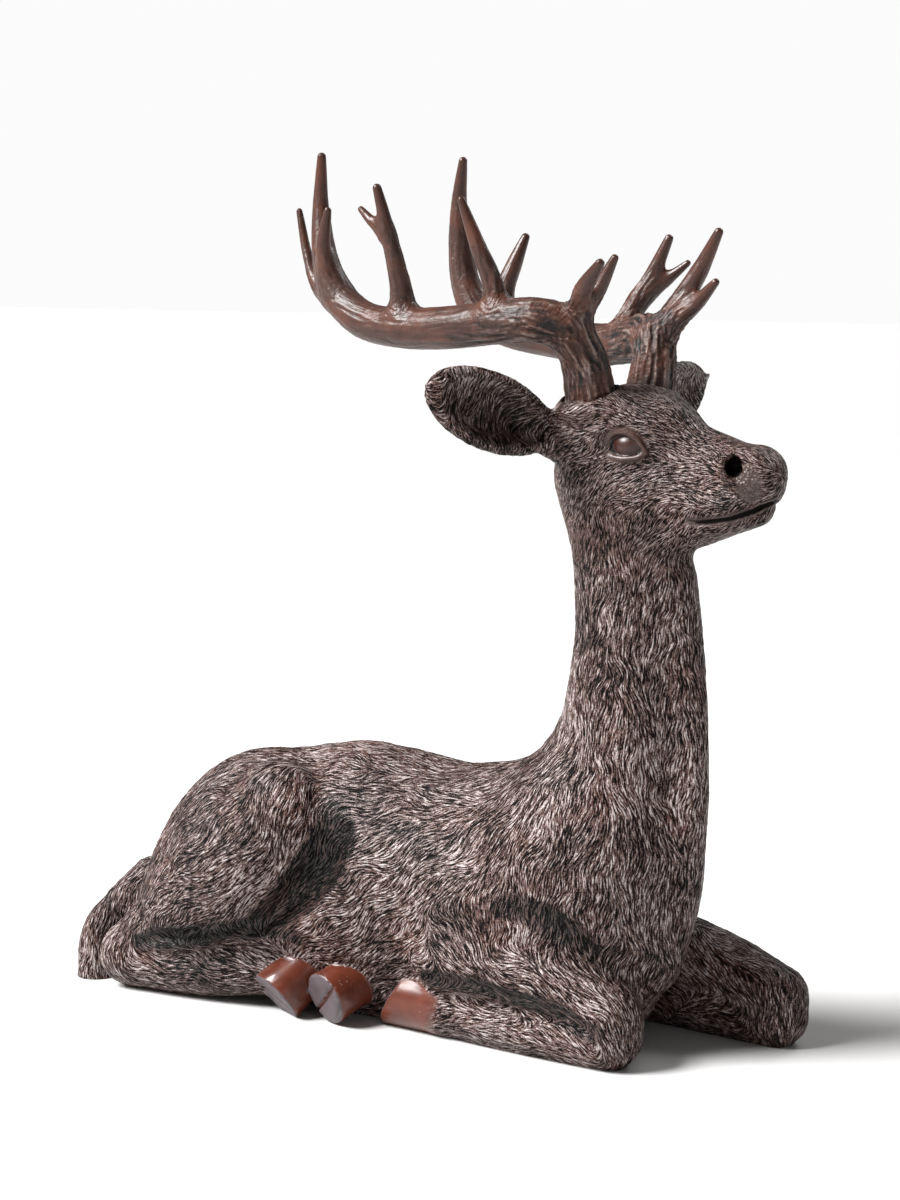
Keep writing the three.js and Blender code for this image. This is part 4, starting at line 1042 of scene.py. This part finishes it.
soft_skin = maths("MULTIPLY", maths("MAXIMUM", lip_share, lid_share), 0.5)
smooth_share = maths("MAXIMUM", horn_share, maths("MULTIPLY", ball_share, 0.6))
smooth_share = maths("MAXIMUM", smooth_share, soft_skin)
gloss = between(relief, 0.25, 0.85, 0.58, 0.34)
gloss = mixed(smooth_share, gloss, 0.3)
dull_share = maths("MAXIMUM", nostril_shade, mouth_slit_shade)
matt_share = maths("MAXIMUM", dull_share, sole_share)
gloss = mixed(matt_share, gloss, 0.5)
pebbles = node(tree, "ShaderNodeTexVoronoi", [("Vector", place), ("Scale", 1000 / 2.2)])
height = maths("MULTIPLY", relief, furred)
pebbled = maths("MULTIPLY", pebbles.outputs["Distance"], pad_share)
height = maths("ADD", height, maths("MULTIPLY", pebbled, -0.8))
bump = node(tree, "ShaderNodeBump", [("Strength", 1.0), ("Distance", 0.0016), ("Height", height)])
glint = maths("MAXIMUM", smooth_share, between(relief, 0.4, 0.62, 0.08, 0.55))
glint = maths("MINIMUM", maths("MAXIMUM", glint, pad_share), 0.5)
glint = maths("MULTIPLY", glint, maths("MULTIPLY_ADD", dull_share, -0.9, 1.0))
shader = node(tree, "ShaderNodeBsdfPrincipled", [
    ("Base Color", colour), ("Roughness", gloss), ("Normal", bump.outputs["Normal"]), ("IOR", 1.5),
    ("Specular IOR Level", glint),
])
node(tree, "ShaderNodeOutputMaterial", [("Surface", shader.outputs["BSDF"])])
stag.data.materials.clear()
stag.data.materials.append(resin)
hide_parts("stag")
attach(stag, "root")

# Antlers. Each is cast by itself in the same resin and stands in a round seat on the brow.
# Their long grooves are cut deepest near the foot, and the tips are polished bright.
antler_resin = new_material("lacquered brown resin")
tree = antler_resin.node_tree
place, way = vector_of("model_place"), vector_of("comb")
rough_share = number("grooved")
groove = combed_noise(tree, place, way, GROOVE_WIDTH, GROOVE_RUN)
scratch = combed_noise(tree, place, way, 1.8, 10)
worn = noise(place, 12, 4.0, 0.6)
tone = maths("ADD", maths("MULTIPLY", groove, 0.7), maths("MULTIPLY", scratch, 0.3))
deep = mixed(rough_share, 0.62, tone)
stain = blend_colour(between(deep, 0.4, 0.58), linear("#040201"), linear("#3d261f"))
stain = blend_colour(maths("MULTIPLY", between(worn, 0.42, 0.66), 0.5), stain, linear("#5e3526"))
bright = maths("MULTIPLY", between(deep, 0.54, 0.78), maths("MULTIPLY", rough_share, 0.6))
colour = blend_colour(bright, stain, linear("#8a7a72"))
dust = node(tree, "ShaderNodeTexVoronoi", [("Vector", place), ("Scale", 1000 / 4.5)])
specks = between(dust.outputs["Distance"], 0.05, 0.1, 1.0, 0.0)
dust_share = maths("MULTIPLY", specks, between(noise(place, 9), 0.56, 0.64))
colour = blend_colour(maths("MULTIPLY", dust_share, 0.5), colour, linear("#b8aea8"))
height = maths("MULTIPLY", groove, maths("MULTIPLY", rough_share, 0.8))
height = maths("ADD", height, maths("MULTIPLY", scratch, 0.12))
bump = node(tree, "ShaderNodeBump", [("Strength", 1.0), ("Distance", 0.0014), ("Height", height)])
gloss = maths("MULTIPLY_ADD", rough_share, 0.2, between(deep, 0.2, 0.7, 0.46, 0.3))
shader = node(tree, "ShaderNodeBsdfPrincipled", [
    ("Base Color", colour), ("Roughness", gloss), ("Normal", bump.outputs["Normal"]), ("IOR", 1.5),
    ("Specular IOR Level", 0.36),
])
node(tree, "ShaderNodeOutputMaterial", [("Surface", shader.outputs["BSDF"])])

for name, beams in BEAMS.items():
    limbs = [limb(stops, place=HEAD, pieces=5) for stops in beams]
    foot = seat(beams)
    clay = Clay().add(1, limbs[0]).add(9, *limbs[1:])
    clay.cut(0.5, slab((0, 0, SEAT_FLOOR), (0, 0, -1), foot))
    clay.add(1.5, puck(FOOT_RADIUS, SEAT_FLOOR, 3, foot))
    points, faces = skin(clay, ANTLER_CELL)
    points, normals = settle(clay, points)
    way = np.zeros_like(points, dtype=np.float64)
    for one in limbs:
        for gap, step in zip(one.gaps(points), one.steps):
            way += (np.exp(-np.clip(gap, 0, 60) / 2.5))[:, None] * step / np.linalg.norm(step)
    way -= np.einsum("ij,ij->i", way, normals)[:, None] * normals
    way /= np.maximum(np.linalg.norm(way, axis=1), 1e-6)[:, None]
    turn = 0.12 * waves(points, 30, 8)
    way = way * np.cos(turn)[:, None] + np.cross(normals, way) * np.sin(turn)[:, None]
    from_foot = np.linalg.norm(points - np.array(foot.translation), axis=1)
    ends = [np.array(HEAD @ Vector(stops[-1][:3])) for stops in beams]
    from_tip = np.min([np.linalg.norm(points - end, axis=1) for end in ends], axis=0)
    grooved = (0.35 + 0.65 * (1 - ramp_up(from_foot, 50, 130))) * ramp_up(from_foot, 17, 21)
    grooved *= ramp_up(from_tip, 5, 50)
    kept = {"outward": normals, "comb": way, "grooved": grooved}
    antler = carve(name + "_casting", points, faces, kept, [GROOVE_CUT], ANTLER_TRIANGLES)
    antler.data.materials.clear()
    antler.data.materials.append(antler_resin)
    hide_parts(name)
    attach(antler, "root")
